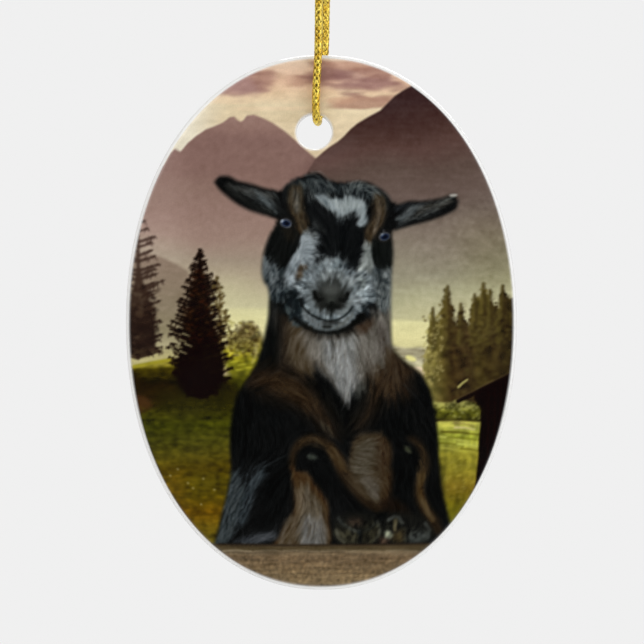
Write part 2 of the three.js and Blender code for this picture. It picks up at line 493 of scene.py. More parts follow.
def paint_sky(canvas):
    x, z = canvas.x, canvas.z
    colour = ramp(
        z, [(24, (226, 205, 170)), (28, (229, 209, 172)), (29.6, (231, 212, 176)),
         (31.2, (230, 200, 164)), (33, (228, 190, 160)), (36, (233, 206, 180))],
    )
    colour = mix(colour, (240, 231, 208), smooth_step((-12 - x) / 7))
    broad = canvas.noise(3.2, 0.8)
    thin = canvas.noise(1.1, 0.3)
    wisp = canvas.noise(0.5, 0.14)
    drift = 0.5 * broad + 0.4 * thin + 0.16 * wisp
    clouds = [
        ((-11.2, 32.4), (4.2, 1.5), (160, 122, 118), 0.85),
        ((-7.6, 33.1), (2.0, 1.5), (168, 126, 112), 0.75),
        ((-3.2, 32.6), (2.6, 1.1), (180, 136, 116), 0.6),
        ((0.6, 33.4), (3.2, 1.9), (150, 108, 100), 0.85), ((3.4, 32.6), (4.6, 1.6), (152, 112, 106), 0.8),
        ((7.6, 32.4), (4.2, 1.2), (154, 113, 106), 0.85), ((4.0, 35.2), (3.6, 0.7), (182, 136, 116), 0.7),
        ((7.5, 34.0), (2.4, 0.7), (176, 132, 116), 0.6), ((5.8, 30.0), (3.8, 0.9), (176, 130, 112), 0.7),
        ((2.2, 30.4), (2.0, 0.5), (205, 160, 130), 0.5), ((8.6, 30.6), (1.6, 0.6), (182, 140, 120), 0.6),
    ]
    for (cx, cz), (rx, rz), cloud, strength in clouds:
        away = canvas.away(cx, cz, rx, rz) + 0.35 * drift
        colour = mix(colour, cloud, strength * smooth_step((1.25 - away) / 0.8))
    for cx, cz, rx, rz in (
        (-12.5, 30.2, 4, 0.35), (-6, 29.2, 5, 0.3), (3.5, 31.6, 3, 0.35), (-3, 31.2, 4, 0.3)
    ):
        away = canvas.away(cx, cz, rx, rz) + 0.3 * drift
        colour = mix(colour, (240, 214, 178), 0.55 * smooth_step((1.2 - away) / 0.8))
    colour += (2.5 * canvas.noise(0.35, 0.18) + 3.2 * thin + 1.6 * wisp)[..., None]
    canvas.colour[:] = colour


def paint_mountains(canvas):
    haze = [
        (1.9, (206, 199, 158)), (3, (200, 192, 154)), (6, (179, 165, 139)), (9, (162, 146, 127)),
        (12, (157, 131, 118)), (15, (149, 121, 110)), (18, (141, 113, 102)), (21, (134, 104, 95)),
        (24, (133, 102, 94)), (26.5, (149, 117, 107)), (28.5, (152, 120, 110)),
    ]
    cloud = canvas.noise(2.5, 1.6)
    fine = canvas.noise(0.25, 0.2)

    def left(x, z, part):
        colour = ramp(z + 0.5 * cloud[part], haze)
        colour += (14 * smooth_step((-16 - x) / 6) + 1.6 * fine[part])[..., None]
        return colour

    ridge = [
        (-27.5, 18), (-21.5, 21.5), (-20.6, 23.1), (-20, 23.7), (-19.2, 23.3), (-18.2, 24.5), (-17, 25.5),
        (-15.8, 26.3), (-14.5, 26.8), (-13.4, 27.3), (-12.5, 28), (-11.9, 28.1), (-11.4, 27.6),
        (-11, 27.4), (-10.6, 27.6), (-10.2, 28.2), (-9.2, 28.35), (-8, 27.9), (-6.6, 27.2), (-5, 26.1),
        (-3.6, 24.9), (-2.2, 23.6), (-0.8, 22.4), (2, 21.5), (2, -4), (-27.5, -4),
    ]
    canvas.fill(ridge, left, 0.16, rounded=False)

    dark = [
        (0.8, (198, 193, 150)), (3, (177, 173, 138)), (6, (153, 147, 124)), (9, (139, 129, 112)),
        (12, (130, 117, 104)), (15, (112, 98, 88)), (18, (104, 87, 79)), (21, (93, 75, 67)),
        (24, (88, 63, 57)), (27, (69, 47, 43)), (30, (59, 41, 40)), (32.5, (56, 37, 36)),
    ]
    grass = canvas.noise(0.22, 0.2)
    streak = canvas.noise(0.7, 0.16)
    patch = canvas.noise(1.4, 1.0)

    def right(x, z, part):
        colour = ramp(z - 0.12 * (x - 12) + 0.35 * cloud[part], dark)
        colour += (12 * smooth_step((6 - x) / 5) * smooth_step((z - 20) / 2))[..., None]
        olive = smooth_step((x - 15) / 8) * smooth_step((z - 3) / 4) * smooth_step((17 - z) / 6)
        colour = mix(colour, colour * np.array((0.94, 0.94, 0.88)), olive)
        rough = smooth_step((x - 9) / 6) * smooth_step((18.5 - z) / 5) * smooth_step((z - 0.5) / 3)
        colour += ((1.2 + 2.2 * rough) * grass[part] + 3.0 * rough * patch[part])[..., None]
        colour += (1.6 * streak[part])[..., None]
        return colour

    ridge = [
        (-0.8, 22.35), (0.2, 23.2), (1.2, 24), (2.2, 24.6), (3, 25.3), (4, 26.4), (5, 27.2), (6.5, 28.1),
        (8, 28.9), (9, 29.9), (10, 30.9), (11.2, 31.7), (12.4, 32.35), (14.5, 31.5), (28, 22), (28, -6),
        (-2, -6), (-2, 20.5),
    ]
    canvas.fill(ridge, right, 0.14, rounded=False)
    canvas.stroke([(0.2, 23.1), (3, 25.25), (5, 27.15)], 0.12, 0.12, (58, 36, 26), 0.4)
    canvas.stroke([(-2, 21.2), (-0.8, 22.2), (1.5, 21.6)], 0.9, 0.2, (101, 74, 68), 0.3, 0.5)


def paint_valley(canvas):
    fine = canvas.noise(0.4, 0.14)
    blot = canvas.noise(1.2, 0.5)

    haze = 2 * blot + 2 * fine
    pale = [(-5, (214, 206, 150)), (-2, (231, 223, 164)), (0.5, (228, 222, 166)), (2.2, (214, 208, 160))]
    field = graded(pale, plus=haze)
    canvas.fill([(-14, 1.9), (-11, 2.0), (-6, 1.9), (-6, -7), (-14, -6)], field, 0.35, rounded=False)
    canvas.fill([(8, 0.4), (12, 0.3), (16.5, 0.1), (16.5, -4), (8, -4.6)], field, 0.35, rounded=False)
    tracks = graded([(-5, (176, 168, 136)), (-3.5, (168, 160, 130))], plus=12 * fine)
    canvas.fill(
        [(9.5, -3.2), (11.5, -3.5), (13.8, -3.4), (14.5, -4.6), (13.5, -5.9), (11, -4.9)], tracks, 0.3,
    )
    canvas.oval((12.2, -4.9), (0.75, 0.35), (240, 233, 150), 0.2, 0.9, -20)
    canvas.oval((13.4, -5.7), (0.7, 0.3), (226, 218, 176), 0.2, 0.8, -30)
    canvas.fill([(10.5, -5.2), (12.5, -6.2), (14.2, -7.4), (14.6, -9), (12, -8)], (112, 98, 58), 0.4, 0, 0.8)
    hill = [
        (-27.5, 11), (-24.5, 9.4), (-23.2, 9.3), (-22, 9), (-20.8, 8.4), (-19.5, 7.8), (-18.2, 7),
        (-16.5, 4), (-15, -6), (-27.5, -6),
    ]
    dim = [
        (-4.6, (176, 166, 106)), (-3, (164, 154, 118)), (-1, (130, 119, 92)), (2, (124, 109, 90)),
        (6, (134, 116, 98)), (9, (139, 118, 102)),
    ]
    canvas.fill(hill, graded(dim, plus=2.5 * fine + 2 * blot), 0.3, 0, 0.85, rounded=False)


def paint_meadow(canvas):
    streak = canvas.noise(1.1, 0.13)
    tuft = canvas.noise(0.28, 0.18)
    broad = canvas.noise(2.2, 0.9)
    green = [
        (-30, (92, 80, 22)), (-28, (94, 76, 16)), (-26, (92, 66, 9)), (-24, (90, 74, 9)),
        (-22, (86, 74, 11)), (-20, (71, 58, 9)), (-18, (72, 65, 16)), (-16, (68, 66, 17)),
        (-14, (54, 55, 9)), (-12, (56, 53, 10)), (-10.3, (40, 34, 6)), (-8, (33, 28, 4)),
        (-6.2, (58, 50, 5)), (-5.6, (150, 138, 48)), (-5, (168, 156, 62)),
    ]

    def grass(x, z, part):
        tilt = z - 0.05 * (x + 19)
        colour = ramp(tilt, green)
        colour = mix(colour, (104, 74, 12), 0.5 * smooth_step((-19 - z) / 3) * smooth_step((-17 - x) / 3))
        colour *= (1 + 0.05 * streak[part] + 0.11 * tuft[part] + 0.08 * broad[part])[..., None]
        return colour

    canvas.fill(
        [(-27.5, -6), (-25.5, -5.9), (-23, -5.3), (-20.5, -4.9), (-19, -5.5), (-15, -7), (-12, -7.4),
         (-6, -6.5), (-6, -32), (-27.5, -32)], grass, 0.18, rounded=False,
    )
    canvas.fill(
        [(-25.8, -7.4), (-23.5, -8.2), (-21, -8), (-18.5, -9.8), (-19.8, -10.4), (-23, -11.6),
         (-25.6, -11.8)], (40, 26, 14), 0.6, 0, 0.55,
    )
    canvas.fill(
        [(-25.4, -10), (-23.8, -10.4), (-23.2, -11.4), (-24.8, -12.4), (-25.4, -12)], (92, 58, 34), 0.5,
        0, 0.5,
    )
    canvas.fill(
        [(-19.4, -8), (-13.6, -8), (-13.8, -9), (-15.2, -9.8), (-17, -10.2), (-19.2, -9.6)], (18, 12, 4),
        0.9, 0, 0.75,
    )
    canvas.fill(
        [(-21.5, -9.2), (-13, -9), (-10.5, -9.6), (-12, -11.6), (-17, -12.6), (-22, -11.6)], (40, 38, 8),
        1.2, 0, 0.6,
    )
    for x, z in canvas.scatter(520, -25, -12.5, -30, -10.8):
        shine = canvas.rng.uniform(-22, 30)
        base = ramp(z, green) + shine * np.array((1, 0.9, 0.35))
        canvas.stroke(
            [(x, z), (x + canvas.rng.uniform(0.3, 1.1), z + canvas.rng.normal(0.02, 0.1))], 0.16, 0.06,
            np.clip(base, 0, 255), 0.35,
        )
    for x, z in (
        (-16.1, -21.3), (-18.2, -21.9), (-19.6, -20), (-16.4, -24.8), (-20.6, -20.9), (-14.6, -22.8),
        (-17.5, -22.6)
    ):
        canvas.oval((x, z), (0.16, 0.14), (170, 160, 110), 0.12, 0.6)
    canvas.stroke([(-25.6, -6), (-23.4, -5.6), (-20.7, -5.1)], 0.45, 0.5, (158, 148, 42), 0.9, 0.15)


def paint_spruce(canvas, trunk, levels, shades, gap):
    """Draw a conifer whose levels are (height, left reach, right reach, solid share) from the top down."""
    rng = canvas.rng
    heights, lefts, rights, solids = np.array(levels[::-1]).T
    core = []
    for side, reaches in ((-1, lefts), (1, rights)):
        edge = []
        z = heights[-1]
        while z > heights[0]:
            reach = np.interp(z, heights, reaches)
            edge.append((trunk + side * (0.1 + reach * np.interp(z, heights, solids)), z))
            reach *= rng.uniform(0.74, 1.12)
            colour = ramp(z, shades)
            droop = reach * rng.uniform(0.24, 0.4)
            elbow = (trunk + side * 0.6 * reach, z - 0.4 * droop - 0.1)
            line = [(trunk, z - droop), elbow, (trunk + side * reach, z)]
            canvas.stroke(line, 0.22 + 0.13 * reach, 0.1, colour, 0.92, 0.13)
            for _ in range(int(2 + 3 * reach)):
                share = rng.uniform(0.35, 1)
                x, y = trunk + side * share * reach, z - droop * (1 - share) ** 1.3
                tip = (x + side * rng.uniform(-0.1, 0.45), y + rng.uniform(-0.6, 0.22))
                canvas.stroke([(x, y), tip], 0.28, 0.08, colour, 0.8, 0.12)
            z -= gap * rng.uniform(0.6, 1.4)
        core += edge[::side]
    canvas.fill(core, lambda x, z, part: ramp(z, shades), 0.26, 0, 0.95, rounded=False)


def paint_left_trees(canvas):
    rng = canvas.rng
    dark = (20, 9, 4)
    blot = canvas.noise(0.3, 0.22)
    far = [
        (14.8, 0.3, 0.6, 0), (12.8, 1, 1.6, 0), (11.8, 1, 3.1, 0), (10.4, 1, 1.7, 0.05),
        (8.4, 2, 2.5, 0.05), (6.4, 2, 3.5, 0.1), (5, 2, 2.9, 0.25), (3, 2, 2.8, 0.5), (0, 2, 3.1, 0.68),
        (-3, 2, 3, 0.78), (-4.9, 2, 2.5, 0.8),
    ]
    paint_spruce(
        canvas, -25.0, far, [(-5, (70, 55, 38)), (-3.4, (38, 27, 22)), (0, (40, 28, 22)),
         (3, (56, 42, 34)), (7, (64, 48, 40)), (13, (84, 64, 57))], 0.8,
    )
    for x, z in canvas.scatter(90, -26, -22.3, -4.6, 5):
        shade = rng.choice([(34, 23, 20), (48, 34, 26), (92, 74, 58), (30, 20, 16)])
        size = rng.uniform(0.25, 0.5)
        canvas.oval((x, z), (size, size * 0.55), shade, 0.25, 0.45, rng.uniform(-30, 40))

    canvas.stroke([(-14.3, 6.2), (-13.9, 4), (-13.8, 1.5), (-13.7, -3)], 0.14, 0.4, (74, 56, 28), 0.8, 0.14)
    for _ in range(170):
        z = rng.uniform(-4.2, 6.3)
        reach = np.interp(z, [-4, 0, 3, 6.3], [1.5, 1.4, 1.0, 0.25])
        x = -13.8 + rng.uniform(-1, 1) * reach - 0.08 * z
        shade = rng.choice([(66, 52, 24), (88, 70, 34), (52, 36, 16)])
        size = rng.uniform(0.14, 0.32)
        canvas.oval((x, z), (size, size * 0.6), shade, 0.14, 0.75, rng.uniform(-60, 60))

    def slope(x, z, part):
        colour = ramp(z + 0.25 * (x + 10), grassy)
        return colour * (1 + 0.1 * blot[part])[..., None]

    grassy = [
        (-9.4, (52, 52, 10)), (-8, (78, 76, 14)), (-6.6, (112, 110, 20)), (-5, (134, 130, 30)),
        (-4.2, (140, 132, 44)),
    ]
    leafy = [
        (-7, (142, 136, 22)), (-5, (158, 150, 34)), (-3.6, (116, 106, 26)), (-2.2, (92, 78, 34)),
        (0, (92, 72, 40)),
    ]
    bush = graded(leafy, times=1 + 0.2 * blot)
    canvas.fill(
        [(-13.6, -3.4), (-12, -4), (-10, -4.4), (-7, -4.8), (-7, -9), (-10, -9.6), (-12.4, -8),
         (-13.2, -6)], slope, 0.9, 0, 0.95,
    )
    canvas.fill(
        [(-12.9, -4.6), (-12.7, -3), (-12.2, -1.8), (-11.4, -0.9), (-10.6, -0.2), (-9.8, 0), (-9, -0.5),
         (-8.2, -1.6), (-7.6, -3.4), (-7.6, -5), (-10, -5.4)], bush, 0.45, 0, 0.85,
    )
    for x, z in canvas.scatter(130, -12.8, -8.6, -4.6, 0.2):
        shade = canvas.either((62, 48, 22), (168, 158, 84), 0.62)
        canvas.oval((x, z), (0.26, 0.15), shade, 0.13, 0.55, rng.uniform(-60, 30))
    for x, z in ((-12.3, -5.1), (-11.3, -5.5), (-10.2, -5.9), (-11.6, -6.2)):
        canvas.stroke([(x, z), (x + 0.9, z + 0.12)], 0.14, 0.1, (96, 84, 16), 0.55)
        canvas.stroke([(x, z - 0.3), (x + 1.0, z - 0.15)], 0.25, 0.12, (186, 180, 50), 0.6)
    canvas.stroke([(-8.9, -3.2), (-8.9, -4.4), (-9.4, -5.4)], 0.5, 0.2, (196, 186, 120), 0.5, 0.3)
    near = [
        (9.9, 0.1, 0.1, 0.2), (8.2, 0.9, 0.9, 0.2), (6, 1.9, 1.8, 0.3), (4, 2.6, 2.3, 0.4),
        (2, 3.1, 2.5, 0.45), (0.4, 3.9, 2.9, 0.5), (-2, 4.1, 3.6, 0.6), (-4.4, 4.1, 4.2, 0.68),
        (-6.2, 3.8, 4.4, 0.72), (-7.6, 3.5, 4.1, 0.74), (-9, 2.8, 2.8, 0.76), (-10.1, 1.6, 1.2, 0.8),
    ]
    paint_spruce(canvas, -16.55, near, [(-10, dark), (9, dark)], 0.5)
    for _ in range(150):
        z = rng.uniform(-3, 7.2)
        reach = np.interp(z, [-3, 2, 7.2], [2.4, 1.8, 0.5])
        x = -16.6 + rng.uniform(-1, 1) * reach
        glow = rng.choice([(58, 22, 10), (46, 30, 14), (80, 50, 24), (34, 16, 8)])
        canvas.stroke([(x, z), (x + rng.choice([-1, 1]) * 0.5, z + 0.22)], 0.2, 0.08, glow, 0.45, 0.12)
    for x, z in ((-19.4, -2.3), (-19.9, -3.1), (-18.9, -1.5), (-19.3, -3.9), (-20.6, -3.6), (-18.6, -2.9)):
        canvas.stroke([(x, z), (x + 0.9, z - 0.35)], 0.22, 0.12, (196, 190, 140), 0.7, 0.1)


def paint_right_side(canvas):
    rng = canvas.rng
    streak = canvas.noise(0.16, 0.5)
    blot = canvas.noise(0.35, 0.3)

    def mass(x, z, part):
        colour = ramp(
            x, [(14, (132, 122, 66)), (15.5, (112, 102, 50)), (16.6, (82, 70, 34)), (17.8, (62, 48, 26)),
             (20, (56, 44, 26)), (21.4, (66, 55, 28)), (23.2, (58, 47, 25)), (24.5, (48, 39, 21)),
             (27, (46, 39, 17))],
        )
        crown = smooth_step((z + 2.5) / 6) * smooth_step((x - 19.6) / 1.2) * smooth_step((24 - x) / 1.2)
        colour = mix(colour, (96, 84, 38), 0.75 * crown)
        bright = 1 + 0.07 * streak[part] * smooth_step((z + 9) / 6) + 0.13 * blot[part]
        return colour * bright[..., None]

    tops = [
        (13.9, -9.5), (13.9, -5.5), (14.3, -3), (14.5, -1.4), (14.8, 0.2), (15.2, 1.9), (15.6, 0.6),
        (15.9, 0), (16.2, 1.2), (16.6, 2.8), (17.2, 4.9), (17.6, 3), (18, 0.8), (18.5, -0.2), (19, 2.2),
        (19.4, 0.8), (19.9, -0.6), (20.2, 0.6), (20.6, 2.6), (21, 3.6), (21.5, 3.5), (22.1, 5.3),
        (22.6, 4.1), (23, 4.4), (23.4, 2.8), (23.8, 1.8), (24.2, 3), (24.7, 5), (25.2, 3.5), (25.6, 3.6),
        (26.2, 3.2), (28, 3), (28, -12), (15, -12),
    ]
    canvas.bend_x, canvas.bend_z = canvas.noise(0.2, 0.16), canvas.noise(0.2, 0.16)
    canvas.fill(tops, mass, 0.3, 0.22, rounded=False)
    canvas.bend_x, canvas.bend_z = np.zeros(canvas.x.shape), np.zeros(canvas.x.shape)
    for trunk, top, reach in (
        (15.2, 1.9, 0.7), (17.2, 4.9, 1.3), (19, 2.5, 0.7), (20.9, 3.8, 1.0), (22.1, 5.3, 1.1),
        (23, 4.4, 0.8), (24.7, 5, 1.1)
    ):
        z = top
        while z > -3:
            share = min((top - z) / 5.5, 1)
            for side in (-1, 1):
                span = reach * (0.1 + 0.9 * share) * rng.uniform(0.6, 1.1)
                base = (92, 80, 38) if side < 0 else (58, 47, 25)
                x = trunk + side * span * rng.uniform(0.3, 0.8)
                canvas.oval((x, z), (0.16 + 0.3 * span, 0.2), base, 0.22, 0.5, -side * 18)
            z -= 0.26
    for x, z in canvas.scatter(160, 13.9, 16.6, -8.5, 1):
        shade = canvas.either((170, 158, 92), (82, 70, 34))
        canvas.oval((x, z), (0.22, 0.14), shade, 0.13, 0.45, rng.uniform(-60, 60))
    for x, z in canvas.scatter(160, 16.5, 26.5, -10, 1.5):
        shade = canvas.either((84, 72, 38), (38, 29, 16))
        canvas.oval((x, z), (0.34, 0.2), shade, 0.22, 0.4, rng.uniform(-50, 50))
    canvas.stroke([(18.7, -8.8), (19.2, -8.3), (19.9, -7.8)], 0.34, 0.26, (176, 168, 98), 0.9)

    def lawn(x, z, part):
        colour = ramp(
            z, [(-29, (104, 104, 30)), (-25, (104, 96, 20)), (-22.5, (126, 106, 32)),
             (-20, (134, 124, 38)), (-18, (148, 140, 44)), (-16.5, (172, 172, 66)),
             (-15.6, (150, 156, 50)), (-13.6, (196, 192, 84)), (-13.1, (190, 182, 90))],
        )
        shade = smooth_step((17.6 - x) / 1.4) * smooth_step((-17 - z) / 4)
        colour = mix(colour, (58, 56, 20), 0.6 * shade)
        return colour * (1 + 0.1 * blot[part] + 0.05 * streak[part])[..., None]

    canvas.fill([(12, -12.6), (23, -12.6), (23, -31), (12, -31)], lawn, 0.12, rounded=False)
    hedge = graded(
        [(-13.4, (44, 42, 12)), (-12.2, (78, 78, 24)), (-11, (146, 142, 74))], times=1 + 0.28 * blot,
    )
    canvas.fill(
        [(14.5, -10.7), (16, -10.9), (17.5, -10.9), (18.6, -10.5), (20.2, -10.8), (21.4, -11.3),
         (22.2, -12), (22.1, -13.4), (20, -13.4), (17.5, -13.2), (14.5, -13.3)], hedge, 0.2,
    )
    for x, z in canvas.scatter(70, 15.6, 21.8, -13.1, -11):
        shade = canvas.either((164, 164, 88), (36, 34, 10))
        canvas.oval((x, z), (0.2, 0.13), shade, 0.12, 0.5)
    lines = [
        ((15.5, -13.35), (21.8, -13.5), (40, 34, 10), 0.3),
        ((18.1, -13.7), (20.8, -14.1), (126, 112, 62), 0.25),
        ((18.2, -14.3), (20.9, -14.6), (226, 212, 150), 0.3),
        ((16.4, -14.9), (21.4, -15.3), (64, 56, 12), 0.28),
        ((15.8, -15.5), (20, -16.3), (206, 206, 96), 0.3),
        ((17.2, -15.7), (21.7, -16.1), (104, 104, 26), 0.25),
        ((16, -16.4), (19.4, -16.9), (92, 90, 20), 0.25),
        ((18.6, -16.6), (21.7, -17), (200, 204, 92), 0.3),
        ((19, -17.2), (21.6, -17.6), (90, 84, 20), 0.25),
        ((16.2, -17.1), (18.8, -17.5), (182, 178, 70), 0.25),
        ((16.6, -14.1), (18, -14.1), (216, 212, 92), 0.5),
    ]
    for start, end, shade, width in lines:
        middle = ((start[0] + end[0]) / 2, (start[1] + end[1]) / 2 + 0.12)
        canvas.stroke([start, middle, end], width, width * 0.6, shade, 0.8, 0.1)
    for x, z in canvas.scatter(110, 16, 22, -28, -18):
        shade = canvas.either((170, 158, 66), (86, 74, 16))
        canvas.stroke([(x, z), (x + 0.45, z + rng.normal(0, 0.12))], 0.18, 0.08, shade, 0.4)

    wall = [
        (21.7, -11.9), (21.7, -14), (21.45, -16), (21.4, -18.4), (21.2, -20.2), (20.9, -23), (28, -23),
        (28, -6.3), (25.9, -7.3), (23, -8.7), (20.9, -9.8), (20.8, -10.5), (21.5, -11.2),
    ]
    canvas.fill(wall, (17, 6, 2), 0.14, rounded=False)
    canvas.stroke([(18.6, -10.75), (22, -9.1), (26.4, -7.0)], 0.5, 0.9, (20, 9, 4), 1, 0.1)
    canvas.stroke([(18.7, -10.4), (22, -8.7), (26.2, -6.6)], 0.16, 0.2, (92, 78, 56), 0.5, 0.14)
    canvas.stroke([(21.3, -11.1), (21.9, -11.6), (22.2, -12.6)], 0.3, 0.2, (24, 16, 6), 1)
    for x, top, low in ((22.8, -9.4, -19.5), (23.7, -8.9, -17.5), (24.5, -8.6, -15.5), (25.2, -8.2, -13.5)):
        canvas.stroke([(x, top), (x - 0.15, low)], 0.12, 0.12, (44, 20, 12), 0.5)


HAIR_LIES = [
    (-13.5, 19.2, 158), (-10, 17.6, 152), (-7.5, 16.6, 135), (-6.3, 15, 140), (10.5, 14.4, 35),
    (13, 15.2, 28),
    (16, 15.8, 14), (18, 16.8, 20), (-4.9, 17.8, 80), (-3.3, 17, 88), (-2.6, 14.5, 105), (-2, 18.6, 125),
    (-0.6, 20.3, 140), (0.8, 19.1, 130), (2.4, 18.4, 110), (4.5, 18.6, 60), (6.4, 18.8, 155), (8, 17.8, 130),
    (0, 16.9, 125), (1.5, 16.2, 118), (3, 15.7, 100), (4.6, 15.9, 75), (5.4, 14.4, 55), (7.8, 15.5, 85),
    (7.4, 13.2, 75), (6.6, 11.4, 95), (1.5, 13, 95), (3.6, 12, 85), (-0.5, 13.3, 130), (-1.3, 11.2, 170),
    (-1.4, 9.6, 165), (0.4, 10.4, 130), (-3, 10.3, 65), (-4, 8.2, 55), (-2, 7.6, 120), (1, 8.8, 100),
    (2.4, 8.6, 80), (3.8, 8, 60), (5.2, 8.4, 25), (5.9, 9.8, 20), (6.4, 8.8, 95), (-0.4, 7, 110),
    (-2.4, 5.8, 150),
    (-3.8, 4.8, 160), (-2.8, 3.2, 30), (3.6, 6, 60), (5.2, 5, 25), (6, 3.2, 175), (5.2, 1.6, 150),
    (-5, 9.8, 80),
    (-6.8, 9.4, 70), (-7, 7.2, 62), (-6, 5.4, 68), (-6.5, 3, 85), (-4.4, 2.4, 100), (-3, -0.2, 55),
    (8, 8.6, 100),
    (8.2, 6.2, 118), (8.8, 3.6, 100), (8.6, 0.4, 95), (-0.6, -1.6, 75), (2, -1.8, 92), (4.6, -1.2, 125),
    (-6.6, -2, 92), (-4, -3.6, 84), (-1.4, -4.2, 86), (1.4, -4.6, 92), (3.6, -6.6, 94), (5.2, -8.6, 85),
    (6.6, -4.6, 98), (8.8, -4.4, 112), (2.2, -9.8, 100), (-1, -7, 118), (-4, -7.6, 140), (-7.6, -7.2, 30),
    (-6, -9.6, 150), (-2.8, -10, 135), (-0.6, -12.2, 128), (1.2, -14.6, 120), (-9.5, -12, 95),
    (-6, -14, 105),
    (8.6, -8, 72), (6.8, -11.4, 60), (5, -13.6, 55), (10.4, -8.6, 110), (13, -10.4, 130), (11, -13, 95),
    (-12, -17, 92), (-9.4, -21, 52), (-10.5, -24, 62), (-12.2, -27, 66), (-8.6, -28.8, 20), (-6.4, -19, 32),
    (-3.8, -18.2, 80), (-2.6, -16, 30), (0.4, -16, 150), (2.4, -18.6, 115), (4.2, -21.6, 132),
    (6.4, -24.4, 140),
    (-2.6, -22.6, 95), (-3.4, -26, 70), (-5, -28.6, 62), (-1, -26.6, 92), (0.4, -25, 100), (0.4, -21.5, 120),
    (5.6, -16, 10), (6.6, -18.4, 172), (5.4, -20.4, 165), (7.2, -22.6, 140), (8.8, -18, 95),
    (8.6, -23.4, 110),
    (12, -16.2, 150), (13.8, -18.2, 110), (13.3, -21.6, 88), (13.8, -24.6, 112), (15.4, -27, 125),
    (11.4, -21, 95),
    (15.4, -20, 95), (3, -28, 110), (6, -28, 70), (9.6, -28, 60), (12, -28.6, 40),
]

GOAT_OUTLINE = [
    (-14.4, 19.4), (-13.9, 19.9), (-12.6, 19.9), (-11.4, 19.35), (-9.6, 18.9), (-8, 18.4), (-6.6, 18.1),
    (-5.6, 17.9),
    (-5.2, 18.3), (-4.5, 19), (-3.3, 19.8), (-2.2, 20.2), (-1.1, 20.5), (0, 20.2), (1, 19.5), (2.2, 19.2),
    (3.6, 19.1), (5, 19.3), (6.3, 19.15), (7.5, 18.6), (8.4, 18), (9.1, 17.3), (9.6, 16.5), (10.5, 16.2),
    (12, 16.5), (14, 16.6), (16, 16.9), (17.5, 17.35), (18.4, 17.4), (18.65, 16.6), (18.4, 15.6),
    (17.3, 14.9),
    (15.6, 14.2), (14, 13.7), (12, 13.15), (10.6, 12.75), (9.7, 12.4), (9.7, 11), (9.8, 9.5), (9.7, 7.8),
    (9.6, 6),
    (9.5, 3), (9.5, 0), (9.6, -2.5), (10, -3.8), (11.4, -5.2), (13.4, -6.9), (14.7, -8.9), (15.5, -12),
    (15.9, -15),
    (16.1, -19), (16.5, -23), (17.6, -27.4), (18.4, -31.5), (-15.2, -31.5), (-14.6, -30), (-13.6, -26),
    (-12.8, -22.5), (-12.35, -20), (-12.5, -17), (-12.3, -13.5), (-11.7, -10.5), (-10.4, -8), (-8.9, -5.5),
    (-8.1, -3), (-7.4, 0), (-7.2, 2), (-7.2, 4.4), (-7.9, 5.8), (-8.15, 7.2), (-8, 8.8), (-7.5, 10.8),
    (-6.8, 12.4),
    (-6.1, 13.9), (-7, 14.4), (-8.4, 14.8), (-9.8, 15.3), (-11.2, 16), (-12.5, 16.9), (-13.8, 18),
    (-14.4, 18.8),
]

